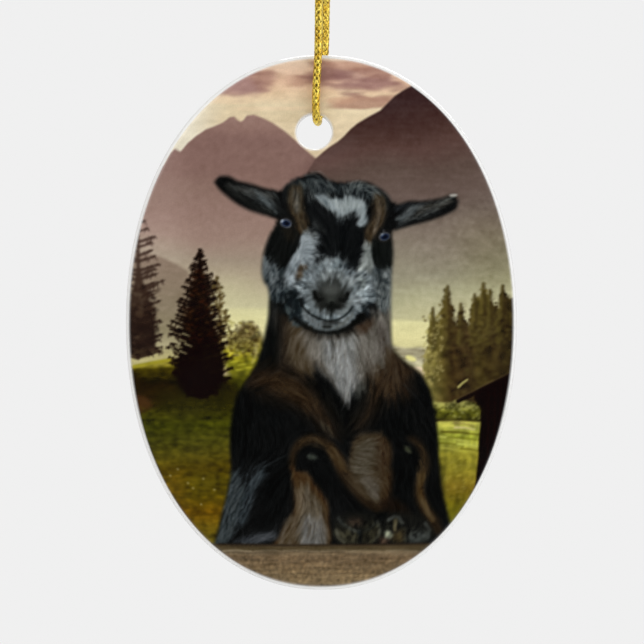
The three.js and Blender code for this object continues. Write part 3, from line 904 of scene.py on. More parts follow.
# The goat's coat, painted in this order: outline, colour, softness, raggedness, strength.
COAT = [
    # Ears.
    ([(-12.8, 19.1), (-11, 18.6), (-9, 18.2), (-7, 17.6), (-6.4, 17), (-8, 17), (-10, 17.4), (-12, 18.2)],
     (62, 62, 59), 0.35, 0.3, 0.9),
    ([(-9, 17.9), (-8, 17.4), (-7, 16.6), (-6.2, 15.4), (-6.6, 15), (-7.6, 15.9), (-8.6, 16.9)],
     (80, 88, 90), 0.3, 0.35, 0.9),
    ([(-13, 18), (-11, 16.5), (-9, 15.4), (-7, 14.8), (-6.6, 15.4), (-8.6, 16), (-10.6, 17.2),
      (-12.4, 18.4)], (30, 31, 29), 0.35, 0.3, 0.9),
    ([(10, 14), (11, 14.8), (12, 15.8), (13.6, 16.2), (14, 15.9), (13, 15.2), (12, 14.4), (10.8, 13.7)],
     (92, 99, 100), 0.35, 0.35, 0.95),
    ([(10, 15.8), (12, 16.3), (11.6, 15.8), (10.4, 15)], (34, 37, 40), 0.3, 0.3, 0.8),
    ([(13, 14.5), (15, 15.2), (17, 16), (18.2, 16.7), (17, 17), (15.4, 16.4), (14.2, 16), (13.2, 15.2)],
     (60, 58, 52), 0.35, 0.3, 0.8),
    ([(10.4, 13), (12.4, 13.7), (14.6, 14.4), (16.4, 15.2), (15, 15.2), (13, 14.6), (11, 13.8)],
     (36, 38, 38), 0.3, 0.25, 0.85),
    # Hair between the ears.
    ([(-5, 18.4), (-3.4, 19.6), (-1.4, 20.3), (0.4, 19.8), (2, 19.1), (5, 19.2), (7.4, 18.4), (9, 17.2),
      (8.8, 15), (6.6, 16.6), (3, 17.2), (0, 17.6), (-2.4, 17.4), (-4.6, 16.4)], (31, 36, 38), 0.4, 0.4,
     0.9),
    ([(-3, 19.2), (-2.2, 19), (-1.2, 18), (-0.8, 17), (-1.6, 16.8), (-2.4, 17.6)], (62, 68, 68), 0.35,
     0.5, 0.7),
    # Brown bands above the eyes.
    ([(-4.3, 18.3), (-3, 18.9), (-2.5, 17.4), (-2.4, 15.6), (-1.8, 14.2), (-1.7, 13), (-1.9, 12.2),
      (-3, 11.9), (-3.5, 13), (-3.7, 14.2), (-4.3, 15.2), (-4.6, 16.8)], (62, 51, 36), 0.4, 0.5, 0.9),
    ([(-3.9, 17.9), (-3.2, 18.1), (-2.9, 16.6), (-3, 15.2), (-3.5, 15), (-3.8, 16.2)], (106, 104, 96),
     0.35, 0.4, 0.8),
    ([(7.2, 17.4), (8.4, 17.2), (8.8, 15.6), (8.4, 13.6), (7.6, 12.3), (7, 11.1), (6, 10.6), (5.8, 12),
      (6.3, 13.2), (6.9, 14.3), (7.2, 15.8)], (66, 54, 39), 0.4, 0.5, 0.9),
    ([(7.5, 16.4), (8.1, 16.2), (8.2, 14.6), (7.9, 13.3), (7.3, 12.9), (7.5, 14.4)], (96, 84, 70), 0.3,
     0.4, 0.75),
    # White blaze.
    ([(-0.9, 17.3), (0.2, 17.6), (1.3, 17), (2.6, 16.95), (4, 17), (5.2, 16.9), (6, 16.2), (6.1, 15),
      (6.2, 13.6), (5.5, 13), (5, 13.5), (5.1, 14.4), (4.4, 14.9), (3.6, 15), (2.8, 14.7), (2.2, 14.3),
      (1.9, 15.2), (1, 15.5), (0.2, 16.1), (-0.5, 16.7)], (122, 132, 135), 0.28, 0.4, 1),
    ([(1.5, 16.5), (3, 16.7), (4.8, 16.7), (5.5, 15.8), (4.8, 15.2), (3.6, 15.4), (2.4, 15.5)],
     (154, 163, 163), 0.4, 0.35, 0.9),
    # Black forehead.
    ([(-1.9, 18.6), (-1, 17.2), (0, 15.8), (1.4, 15), (2.2, 14.2), (3.2, 14.7), (4.4, 14.5), (5.2, 13.2),
      (5.8, 12.2), (5.8, 10.6), (5.5, 8.8), (4.8, 7.4), (4, 7.3), (3.2, 8.1), (2, 8.8), (0.8, 8.7),
      (-0.4, 8), (-1.4, 8), (-1.8, 9), (-1.5, 10.5), (-1.3, 12), (-1.5, 13.4), (-1.8, 14.6),
      (-2.2, 16.4)], (15, 17, 18), 0.22, 0.45, 1),
    ([(-0.9, 13.9), (0.2, 12.9), (0.5, 12.5), (-0.4, 12.7), (-1.2, 13.2)], (70, 72, 70), 0.25, 0.4, 0.45),
    # White stripes beside the nose.
    ([(-2.2, 8.4), (-1, 8.2), (0.4, 8), (0, 6.6), (-2, 5.4), (-3.6, 6)], (104, 112, 115), 0.4, 0.5, 0.8),
    ([(-2.6, 12.2), (-1.5, 12.4), (-0.9, 11.4), (-0.95, 10), (-1.2, 9), (-1.3, 8.1), (-1.8, 7),
      (-2.4, 5.6), (-3.2, 4.6), (-4.4, 4.4), (-5, 5.4), (-5.1, 6.8), (-4.7, 7.8), (-4.1, 8.9),
      (-3.3, 10)], (124, 133, 137), 0.26, 0.5, 1),
    ([(6, 11.1), (7, 10.6), (7.2, 9.2), (7.2, 7.8), (7.4, 6.4), (6.2, 5.4), (4.8, 6.2), (5, 7.6), (5.6, 9)],
     (124, 130, 127), 0.24, 0.4, 1),
    # Cheeks.
    ([(-8.2, 9), (-7.2, 8.6), (-6.2, 7.8), (-5.2, 7), (-4.6, 5.6), (-4.4, 4.2), (-5, 3.2), (-6.4, 2.8),
      (-7.4, 3.8), (-8, 5.6)], (74, 82, 84), 0.3, 0.5, 1),
    ([(-7.7, 8.3), (-7, 8.1), (-6.6, 7), (-7.2, 6.6), (-7.8, 7.2)], (92, 99, 101), 0.3, 0.4, 0.8),
    ([(-7.6, 6.4), (-6.8, 5.6), (-6.6, 4.8), (-7.2, 4.9), (-7.8, 5.6)], (36, 42, 43), 0.3, 0.5, 0.8),
    ([(-6.2, 6.8), (-5.4, 6.2), (-5.2, 5.4), (-5.9, 5.6), (-6.5, 6.1)], (40, 46, 46), 0.3, 0.5, 0.7),
    ([(-3.1, 12.3), (-3, 11), (-3.4, 9.8), (-4.2, 8.8), (-4.9, 7.8), (-5.6, 7.2), (-6.3, 7.8),
      (-7.2, 8.7), (-8, 9.4), (-7.8, 10.8), (-7.2, 12), (-6.4, 13.2), (-5.4, 14.2), (-4, 13)],
     (13, 15, 14), 0.22, 0.4, 1),
    ([(-5.2, 13), (-4, 12.8), (-3.4, 11.6), (-4.2, 11.2), (-5, 11.8)], (30, 26, 18), 0.4, 0.3, 0.7),
    ([(6.9, 10.8), (7.6, 11.2), (9.2, 11.2), (9.9, 9.5), (9.7, 7.8), (8.8, 6.9), (7.8, 7.2), (7.1, 8.2),
      (6.8, 9.4)], (16, 19, 17), 0.22, 0.4, 1),
    ([(7, 7.4), (8, 7), (9.6, 7.4), (9.8, 4.4), (9.5, 2), (8.6, 1.6), (7.6, 2.4), (7, 4.4)], (92, 98, 98),
     0.35, 0.5, 1),
    ([(7.1, 7.4), (7.9, 6.9), (8, 5.9), (7.5, 5.8), (7.2, 6.5)], (44, 51, 54), 0.3, 0.5, 0.85),
    ([(8.2, 6.2), (8.8, 5), (8.6, 4), (8, 4.6)], (62, 68, 68), 0.35, 0.5, 0.7),
    # Muzzle.
    ([(-3.6, 5.6), (-2.8, 6.6), (-1.6, 7.7), (-0.4, 8.1), (1, 8.7), (2, 8.8), (3.1, 8), (4.2, 7.2),
      (5.2, 6.9), (6.2, 6.8), (7.2, 6.2), (7.6, 4.8), (7.4, 3.4), (6.8, 2.5), (5.9, 2), (4.9, 1.2),
      (3.8, -0.4), (2.6, -1.2), (1, -1.5), (-0.4, -1.3), (-1.7, -0.5), (-2.6, 0.8), (-2.9, 2), (-3.6, 3),
      (-4, 4.4)], (106, 115, 118), 0.25, 0.45, 1),
    ([(0, 6.6), (1.6, 7), (3.4, 6.2), (4.6, 5.8), (4.2, 4.8), (2.8, 5.4), (0.4, 5.4)], (142, 148, 147),
     0.45, 0.4, 0.8),
    ([(-2.2, 6.2), (-1, 6.9), (-0.4, 6), (-1.2, 4.8), (-2.4, 4.6), (-3, 5.2)], (118, 127, 131), 0.4, 0.4,
     0.7),
    ([(4.6, 4.2), (5.6, 4), (6, 3), (5.4, 2.2), (4.6, 2.6)], (128, 137, 139), 0.4, 0.35, 0.8),
    ([(2.8, 8), (3.8, 7.4), (4.2, 6.7), (3.4, 6.8), (2.8, 7.4)], (56, 62, 66), 0.3, 0.5, 0.7),
    ([(5, 6.4), (6, 5.6), (5.8, 4.6), (5, 5)], (96, 102, 96), 0.4, 0.4, 0.6),
    ([(-2.9, 7.7), (-2.2, 8), (-2, 7.4), (-2.5, 6.7), (-2.8, 6), (-3.3, 5.8), (-3.5, 6.3), (-3.3, 7)],
     (64, 52, 38), 0.26, 0.3, 0.85),
    # Jaw.
    ([(-5, 3.8), (-4.1, 4.3), (-3.2, 3.9), (-2.6, 3.2), (-2.3, 2.2), (-2.8, 1.2), (-3.6, 0.6),
      (-4.5, 0.9), (-5, 2.2)], (18, 24, 26), 0.25, 0.35, 1),
    ([(-4.8, 2.6), (-4, 2.5), (-3.7, 1.6), (-4.4, 1.2), (-5, 1.8)], (56, 65, 65), 0.25, 0.4, 0.8),
    ([(-4.2, 0.9), (-3, 0.9), (-2.2, -0.2), (-3, -0.7), (-4, -0.2)], (66, 75, 77), 0.3, 0.4, 0.9),
    ([(5.7, 1.9), (6.8, 1.8), (7.1, 1), (6.4, 0.4), (5.6, 0.8)], (31, 31, 29), 0.3, 0.3, 0.95),
    ([(4.6, -0.4), (6, 0.4), (7.2, 0.4), (6.6, -0.9), (5.2, -1.6)], (62, 50, 40), 0.4, 0.3, 0.9),
]

CHEST = [
    ([(-7.6, 2.6), (-5.6, 2.8), (-5, 0.8), (-5.4, -1.4), (-5.8, -5.4), (-8.6, -5.6), (-8, -2)],
     (9, 11, 10), 0.5, 0.3, 1),
    ([(-7.1, 2.4), (-6, 2.2), (-5.6, 0.4), (-6.4, -0.8), (-7.2, 0.4)], (38, 38, 36), 0.45, 0.3, 0.9),
    ([(-5.6, 1), (-4.2, 0.8), (-3, -1), (-3.6, -5), (-5.8, -6.6), (-5.8, -2)], (38, 32, 25), 0.5, 0.35, 1),
    ([(-4.2, 0), (-2.4, -1), (-1, -1.8), (-0.6, -5), (-1.6, -7.2), (-3.6, -6.8), (-4.6, -4)],
     (72, 62, 48), 0.5, 0.4, 1),
    ([(-2.6, -1), (-0.4, -1.6), (2, -1.9), (4.6, -1.4), (6.2, -1), (6.6, -4), (6.2, -7), (4.8, -8.4),
      (2.4, -8.6), (0, -6.6), (-1.6, -4.4)], (98, 93, 84), 0.6, 0.5, 1),
    ([(4.8, -0.8), (7, 0.6), (9.7, 3), (9.7, -3), (9.9, -5.6), (8.4, -7), (6.2, -6.8), (5.4, -3)],
     (96, 92, 84), 0.6, 0.45, 1),
    ([(7.4, -0.8), (8.6, -0.6), (9, -3.2), (8.2, -4), (7.6, -2.6)], (70, 64, 58), 0.45, 0.4, 0.8),
    ([(9, -3.6), (10.4, -4.4), (12.6, -6.8), (11, -8), (9.2, -6.6), (8.6, -5)], (52, 40, 27), 0.5, 0.35,
     0.9),
    ([(0.2, -2), (2, -2.2), (4.6, -2), (4.8, -4.6), (4.9, -7.4), (4.4, -9.4), (3.4, -10.8), (2.4, -9.6),
      (1.4, -7.8), (0.4, -5.4)], (119, 121, 119), 0.5, 0.5, 1),
    ([(1.2, -5), (3.6, -4.6), (4.4, -7), (4, -8.6), (2.8, -8.4), (1.8, -7)], (132, 135, 134), 0.5, 0.5, 0.7),
    ([(4.6, -8), (6.2, -7), (6.4, -8.8), (5, -10)], (56, 57, 53), 0.5, 0.5, 0.8),
    ([(0.9, -8.2), (2.2, -9.8), (3.4, -11.3), (5, -10.6), (6.2, -9.4), (6.6, -10.6), (5, -13.6),
      (3.2, -16.2), (1.6, -13.6), (0.2, -11.4), (-0.4, -9.4)], (11, 12, 11), 0.5, 0.55, 1),
    ([(-9.6, -6.4), (-7.6, -6.2), (-5.4, -6.4), (-3, -7.2), (-1.2, -9.2), (0.8, -12.2), (2.2, -15),
      (1.2, -15.6), (-1, -13.4), (-3, -11.8), (-5.4, -10.8), (-7.6, -9.8), (-9.9, -8.6)], (36, 27, 17),
     0.95, 0.6, 1),
    ([(-7.4, -7.4), (-4.6, -8), (-2.4, -9.6), (-0.2, -12.4), (-1.8, -11.6), (-4.4, -9.8)], (50, 39, 25),
     0.8, 0.5, 0.8),
    ([(7, -6.4), (9.6, -6.2), (11.8, -7.6), (12, -9.4), (10, -10.6), (8.4, -10.6), (7.2, -12.4),
      (5.4, -14.6), (4.6, -14.2), (6, -11.4), (6.8, -9)], (40, 31, 21), 0.95, 0.6, 0.95),
    ([(6.6, -7.4), (8.6, -7), (10.8, -8), (9.6, -9.4), (8, -9.2)], (54, 43, 31), 0.8, 0.5, 0.8),
]

LEGS = [
    # Left knee, its brown edge and the lighter panel under it.
    ([(-4.4, -19.6), (-4.2, -17.4), (-3, -15.8), (-1.2, -15.2), (0.8, -15.9), (2, -17.3), (3.2, -19),
      (4.6, -21), (6.4, -22.8), (8.4, -24.6), (8.2, -25.8), (6.4, -25.4), (4.4, -23.6), (2.6, -21.4),
      (1.6, -19.4), (0.8, -17.8), (-0.6, -16.6), (-2.2, -16.8), (-3.4, -18), (-3.6, -20)], (40, 31, 19),
     0.3, 0.25, 0.95),
    ([(1.4, -16.6), (2.8, -18), (3.4, -19.6), (2.6, -20.2), (1.6, -18.8), (1, -17.6)], (60, 47, 30), 0.35,
     0.25, 0.9),
    ([(3.6, -20.4), (5, -21.6), (6.8, -23.6), (6.2, -24), (4.4, -22.4)], (68, 58, 44), 0.3, 0.25, 0.85),
    ([(-4.3, -20), (-3.2, -20.2), (-2, -20.6), (-0.4, -22.4), (0.8, -24.4), (1, -26.6), (0.8, -31),
      (-6.4, -31), (-5.4, -28.6), (-4, -26.4), (-3.6, -23.6)], (62, 46, 28), 0.3, 0.3, 1),
    ([(-3.1, -22.6), (-1.8, -22.4), (-0.6, -24), (0.3, -25.6), (0.4, -31), (-3.4, -31), (-3.6, -28),
      (-3, -25)], (78, 70, 57), 0.4, 0.35, 1),
    ([(-2.4, -26.8), (-0.8, -26.6), (0.3, -27.4), (0.4, -30.6), (-2.8, -30.6)], (102, 101, 97), 0.5, 0.35,
     1),
    ([(-5, -27.2), (-3.8, -26.4), (-3.4, -28), (-4.2, -30.8), (-6, -30.8)], (80, 70, 56), 0.35, 0.3, 0.85),
    ([(-2.9, -22.2), (-2.4, -23), (-2.6, -25.6), (-3.2, -26), (-3.3, -24)], (92, 79, 60), 0.3, 0.25, 0.8),
    # Belly between the knees.
    ([(3.9, -17.6), (4.4, -15.9), (5.8, -15.1), (7.8, -15), (9, -15.8), (9.6, -17.4), (9.4, -20),
      (9.3, -22.6), (8.9, -24.4), (8, -25), (7, -24.4), (5.6, -22.6), (4.2, -20.8), (3.7, -19.2)],
     (56, 47, 34), 0.35, 0.3, 1),
    ([(4.4, -18), (5.2, -16.4), (6.8, -15.8), (7.6, -17), (7, -19), (6.4, -21.4), (5.4, -21.4),
      (4.4, -19.8)], (72, 66, 54), 0.4, 0.3, 0.9),
    ([(5.8, -21.2), (7, -21.2), (8, -22.6), (7.8, -24.2), (7, -24), (6, -22.6)], (84, 78, 68), 0.35, 0.3,
     0.9),
    ([(7.8, -15.8), (9, -16.4), (9.3, -19), (8.2, -20.4), (7.8, -18)], (50, 36, 22), 0.45, 0.25, 0.8),
    ([(8.2, -21), (9.6, -20.4), (9.4, -24), (8.4, -24.8)], (48, 35, 20), 0.4, 0.25, 0.8),
    # Right knee and its brown edge.
    ([(12, -15.8), (13.2, -15.9), (14.3, -17.4), (14.8, -19.4), (14.2, -21.4), (14, -23.2), (14.9, -25.2),
      (16.2, -27.2), (16.8, -29.4), (15.6, -29), (14.4, -27), (13, -24.6), (12.8, -22), (13.6, -20),
      (13.5, -18), (12.8, -16.8)], (38, 29, 17), 0.4, 0.4, 0.95),
    ([(13.2, -20.8), (13.8, -20.6), (13.8, -22.8), (14.5, -25), (15.4, -26.8), (15, -27.2), (13.9, -25.6),
      (13.1, -23.4)], (74, 58, 36), 0.3, 0.35, 0.85),
    ([(8, -24.8), (9.8, -24), (11.4, -25), (12.4, -26.6), (11, -26.2), (9.4, -26)], (28, 19, 11), 0.4,
     0.2, 0.8),
    # Shine on the knees.
    ([(-2, -18.1), (-1.1, -18), (-0.6, -18.5), (-1.5, -18.7)], (60, 65, 58), 0.2, 0, 0.9),
    ([(11.3, -16.9), (12, -17.1), (12.3, -17.8), (11.6, -17.6)], (72, 75, 60), 0.18, 0, 0.9),
    # Flank hair at the lower left.
    ([(-12.4, -20.6), (-11.2, -21), (-10.4, -22.6), (-10.8, -25), (-11.8, -28), (-13, -30.4), (-14.6, -30.4),
      (-13.6, -26)], (52, 58, 59), 0.4, 0.5, 0.9),
    ([(-8.2, -20), (-9.6, -21.2), (-10.4, -23.2), (-11.2, -25.6), (-11.6, -27.8), (-10.2, -27.2),
      (-9.6, -25), (-8.8, -22.6), (-7.6, -21)], (46, 52, 55), 0.35, 0.55, 0.85),
    ([(-11.6, -29.8), (-9.4, -29), (-7.6, -28.6), (-6.4, -28.6), (-6.2, -29.4), (-8.4, -30.2), (-11, -30.6)],
     (54, 57, 60), 0.35, 0.4, 0.85),
]


def paint_goat(canvas):
    canvas.comb(HAIR_LIES)
    part, mask = canvas.cover(GOAT_OUTLINE, 0.42, 0.06)
    behind = canvas.colour[part].copy()
    canvas.colour[part] = (11, 12, 12)
    for patches, feather, ragged in ((CHEST, 2.0, 0.7), (LEGS, 1.7, 0.5), (COAT, 1.45, 0.42)):
        for outline, colour, soft, jag, strength in patches:
            canvas.fill(outline, colour, soft * feather, jag * ragged, strength)
    mottle = canvas.drag(canvas.noise(0.28, 0.28), 5)
    spots = [
        (-6.2, 5.4, 2.0, 2.8, 0.7), (8.2, 5, 1.5, 2.6, 0.7), (-3.6, 2.4, 1.5, 2.2, 0.8),
        (6.4, 2.4, 1.6, 1.4, 0.8),
    ]
    for cx, cz, rx, rz, strength in spots:
        away = canvas.away(cx, cz, rx, rz)
        dark = smooth_step((1.15 - away) / 0.5) * smooth_step((mottle - 0.1) / 0.8)
        canvas.colour = mix(canvas.colour, (24, 29, 31), strength * dark)
    fleck = canvas.drag(canvas.noise(0.16, 0.16), 3)
    away = canvas.away(1.2, 4.6, 6.9, 4.6)
    canvas.colour *= (1 + 0.17 * smooth_step((1.2 - away) / 0.4) * np.clip(fleck, -1.6, 1.4))[..., None]
    paint_hair(canvas, part)
    speckle(canvas)
    paint_face(canvas)
    paint_hooves(canvas)
    canvas.colour[part] = mix(behind, canvas.colour[part], mask)
    paint_loose_hair(canvas)


def speckle(canvas):
    """Dark and pale flecks through the coat of the muzzle and cheeks."""
    coarse = canvas.drag(canvas.noise(0.24, 0.24), 3)
    fine = canvas.drag(canvas.noise(0.11, 0.11), 2)
    fleck = 0.6 * coarse + 0.75 * fine
    spots = [
        (-5.6, 3.9, 1.7, 2.4, 0.62), (-6.4, 6.4, 1.3, 1.6, 0.5), (8.4, 4.8, 1.4, 2.8, 0.5),
        (-3.6, 2, 1.6, 2.2, 0.75), (6.6, 1.9, 1.7, 1.4, 0.7), (-3.0, 4.6, 1.2, 1.4, 0.45),
        (5.8, 5.6, 1.0, 1.6, 0.45), (3.4, 7.6, 1.0, 0.6, 0.4),
    ]
    for cx, cz, rx, rz, strength in spots:
        away = canvas.away(cx, cz, rx, rz)
        near = smooth_step((1.2 - away) / 0.6)
        canvas.colour = mix(canvas.colour, (19, 24, 27), strength * near * smooth_step((fleck - 0.3) / 0.8))
        canvas.colour += (20 * near * smooth_step((-0.4 - fleck) / 1.2))[..., None]
    away = canvas.away(1.4, 5, 5.6, 3.8)
    canvas.colour *= (1 + 0.13 * smooth_step((1.2 - away) / 0.4) * np.clip(-fine, -1.6, 1.4))[..., None]


def paint_face(canvas):
    # Nose.
    canvas.oval((1.35, 4.3), (3.0, 2.2), (88, 94, 94), 1.3, 0.55)
    canvas.fill(
        [(-1.1, 3.9), (-0.6, 4.9), (0.4, 5.5), (1.5, 5.7), (2.6, 5.4), (3.5, 4.8), (3.8, 3.8), (3.5, 2.7),
         (2.7, 1.9), (1.5, 1.4), (0.2, 1.8), (-0.8, 2.8)], (50, 52, 50), 0.55, 0.3, 0.95,
    )
    canvas.fill(
        [(-0.9, 3.8), (-0.1, 4.3), (1.3, 4.2), (2.8, 4.3), (3.6, 3.7), (3.2, 2.6), (2.4, 1.8), (1.4, 1.5),
         (0.4, 1.8), (-0.6, 2.7)], (30, 31, 29), 0.5, 0.1, 0.8,
    )
    canvas.oval((1.35, 4.3), (1.0, 0.75), (76, 79, 75), 0.7, 0.8)
    canvas.oval((1.3, 3.1), (0.6, 0.4), (58, 61, 57), 0.4, 0.7)
    canvas.stroke([(-0.95, 4.1), (-0.85, 3.5), (-0.4, 3.05), (0.1, 3.15)], 0.55, 0.3, (9, 10, 8), 0.95, 0.2)
    canvas.stroke([(3.6, 3.9), (3.5, 3.3), (3.05, 2.95), (2.6, 3.1)], 0.5, 0.28, (10, 11, 9), 0.9, 0.2)
    canvas.stroke([(1.4, 2.7), (1.35, 2.1), (1.4, 1.0)], 0.26, 0.2, (8, 10, 8), 0.8, 0.2)
    canvas.oval((1.5, 2.2), (1.0, 0.35), (13, 15, 13), 0.4, 0.7)
    canvas.oval((0.5, 1.35), (0.6, 0.24), (70, 73, 73), 0.3, 0.6)
    canvas.oval((2.3, 1.3), (0.55, 0.24), (64, 66, 65), 0.3, 0.6)
    for x, z in ((-0.6, 5.2), (0.1, 5.7), (0.9, 6), (1.8, 6), (2.6, 5.7), (3.4, 5.2)):
        canvas.stroke([(x, z), (x + 0.35 * (x - 1.3) / 2, z + 0.5)], 0.16, 0.06, (66, 70, 70), 0.5, 0.12)
    # Lips and mouth.
    canvas.fill(
        [(2.5, 1.1), (3.2, 1.3), (3.9, 2.1), (4.5, 3.3), (4.0, 3.1), (3.4, 2.3), (2.8, 1.7)],
        (112, 119, 118), 0.3, 0.12, 0.8,
    )
    canvas.fill(
        [(-2.2, 3.3), (-1.3, 2.9), (-0.8, 2), (-0.3, 1.3), (-0.9, 1.2), (-1.7, 2)], (100, 108, 110), 0.3,
        0.12, 0.75,
    )
    canvas.stroke(
        [(-2.9, 3.1), (-2.6, 2.3), (-2.1, 1.6), (-1.4, 1.05), (-0.6, 0.6), (0.4, 0.3), (1.3, 0.2),
         (2.2, 0.35), (3.1, 0.85), (3.8, 1.5), (4.2, 2.1)], 0.34, 0.24, (14, 16, 15), 0.95, 0.16,
    )
    canvas.oval((1.3, -0.05), (1.5, 0.28), (34, 34, 32), 0.3, 0.8)
    canvas.fill(
        [(-2.6, 2), (-2.1, 1.4), (-1.4, 0.8), (-0.7, 0.3), (0, -0.1), (0, -0.6), (-0.7, -0.6),
         (-1.5, -0.1), (-2.2, 0.7)], (100, 106, 107), 0.24, 0.14, 0.85,
    )
    canvas.fill(
        [(1.5, -0.6), (2.3, -0.2), (3, 0.2), (3.7, 0.9), (4.2, 1.4), (4.1, 0.7), (3.4, -0.1), (2.5, -0.7),
         (1.6, -0.9)], (94, 98, 95), 0.24, 0.14, 0.85,
    )
    canvas.oval((0.75, -0.6), (0.7, 0.28), (22, 22, 19), 0.25, 0.85)
    canvas.stroke(
        [(-3.6, 0.5), (-2.8, -0.1), (-1.8, -0.8), (-0.6, -1.25), (0.8, -1.4), (2.2, -1.3), (3.4, -0.8),
         (4.6, 0), (5.6, 0.9)], 0.5, 0.75, (11, 12, 10), 0.9, 0.24,
    )
    canvas.stroke(
        [(-2.2, -1.2), (-0.6, -1.8), (1, -2), (2.8, -1.8), (4.6, -1)], 0.5, 0.4, (40, 34, 27), 0.5, 0.4,
    )
    for x, z in ((-1.9, 0.9), (-1.2, 0.4), (-0.4, -0.2), (2.2, -0.5), (3, 0), (3.6, 0.6)):
        canvas.stroke([(x, z), (x + 0.1, z - 0.5)], 0.12, 0.06, (38, 40, 40), 0.5)
    # Eyes.
    for (x, z), tilt, ring, glint in (
        ((-4.85, 13.55), -14, (96, 100, 112), (-5.35, 13.85)),
        ((8.6, 11.72), 16, (84, 86, 92), (8.3, 12.0))
    ):
        canvas.oval((x, z), (1.1, 0.85), (26, 25, 22), 0.4, 0.85, tilt)
        canvas.oval((x, z), (0.76, 0.56), ring, 0.16, 0.9, tilt)
        canvas.oval((x + 0.05, z - 0.03), (0.56, 0.4), (12, 26, 50), 0.14, 1, tilt)
        canvas.oval((x + 0.12, z - 0.05), (0.26, 0.22), (5, 9, 18), 0.12, 0.8, tilt)
        canvas.oval(glint, (0.19, 0.16), (182, 196, 214), 0.1, 0.95 if x < 0 else 0.55)
    canvas.stroke([(8.5, 12.6), (8.55, 12.3)], 0.16, 0.1, (120, 124, 128), 0.7)
    canvas.stroke([(-4.2, 13.3), (-4.3, 13), (-4.7, 12.9)], 0.14, 0.1, (120, 124, 132), 0.5)


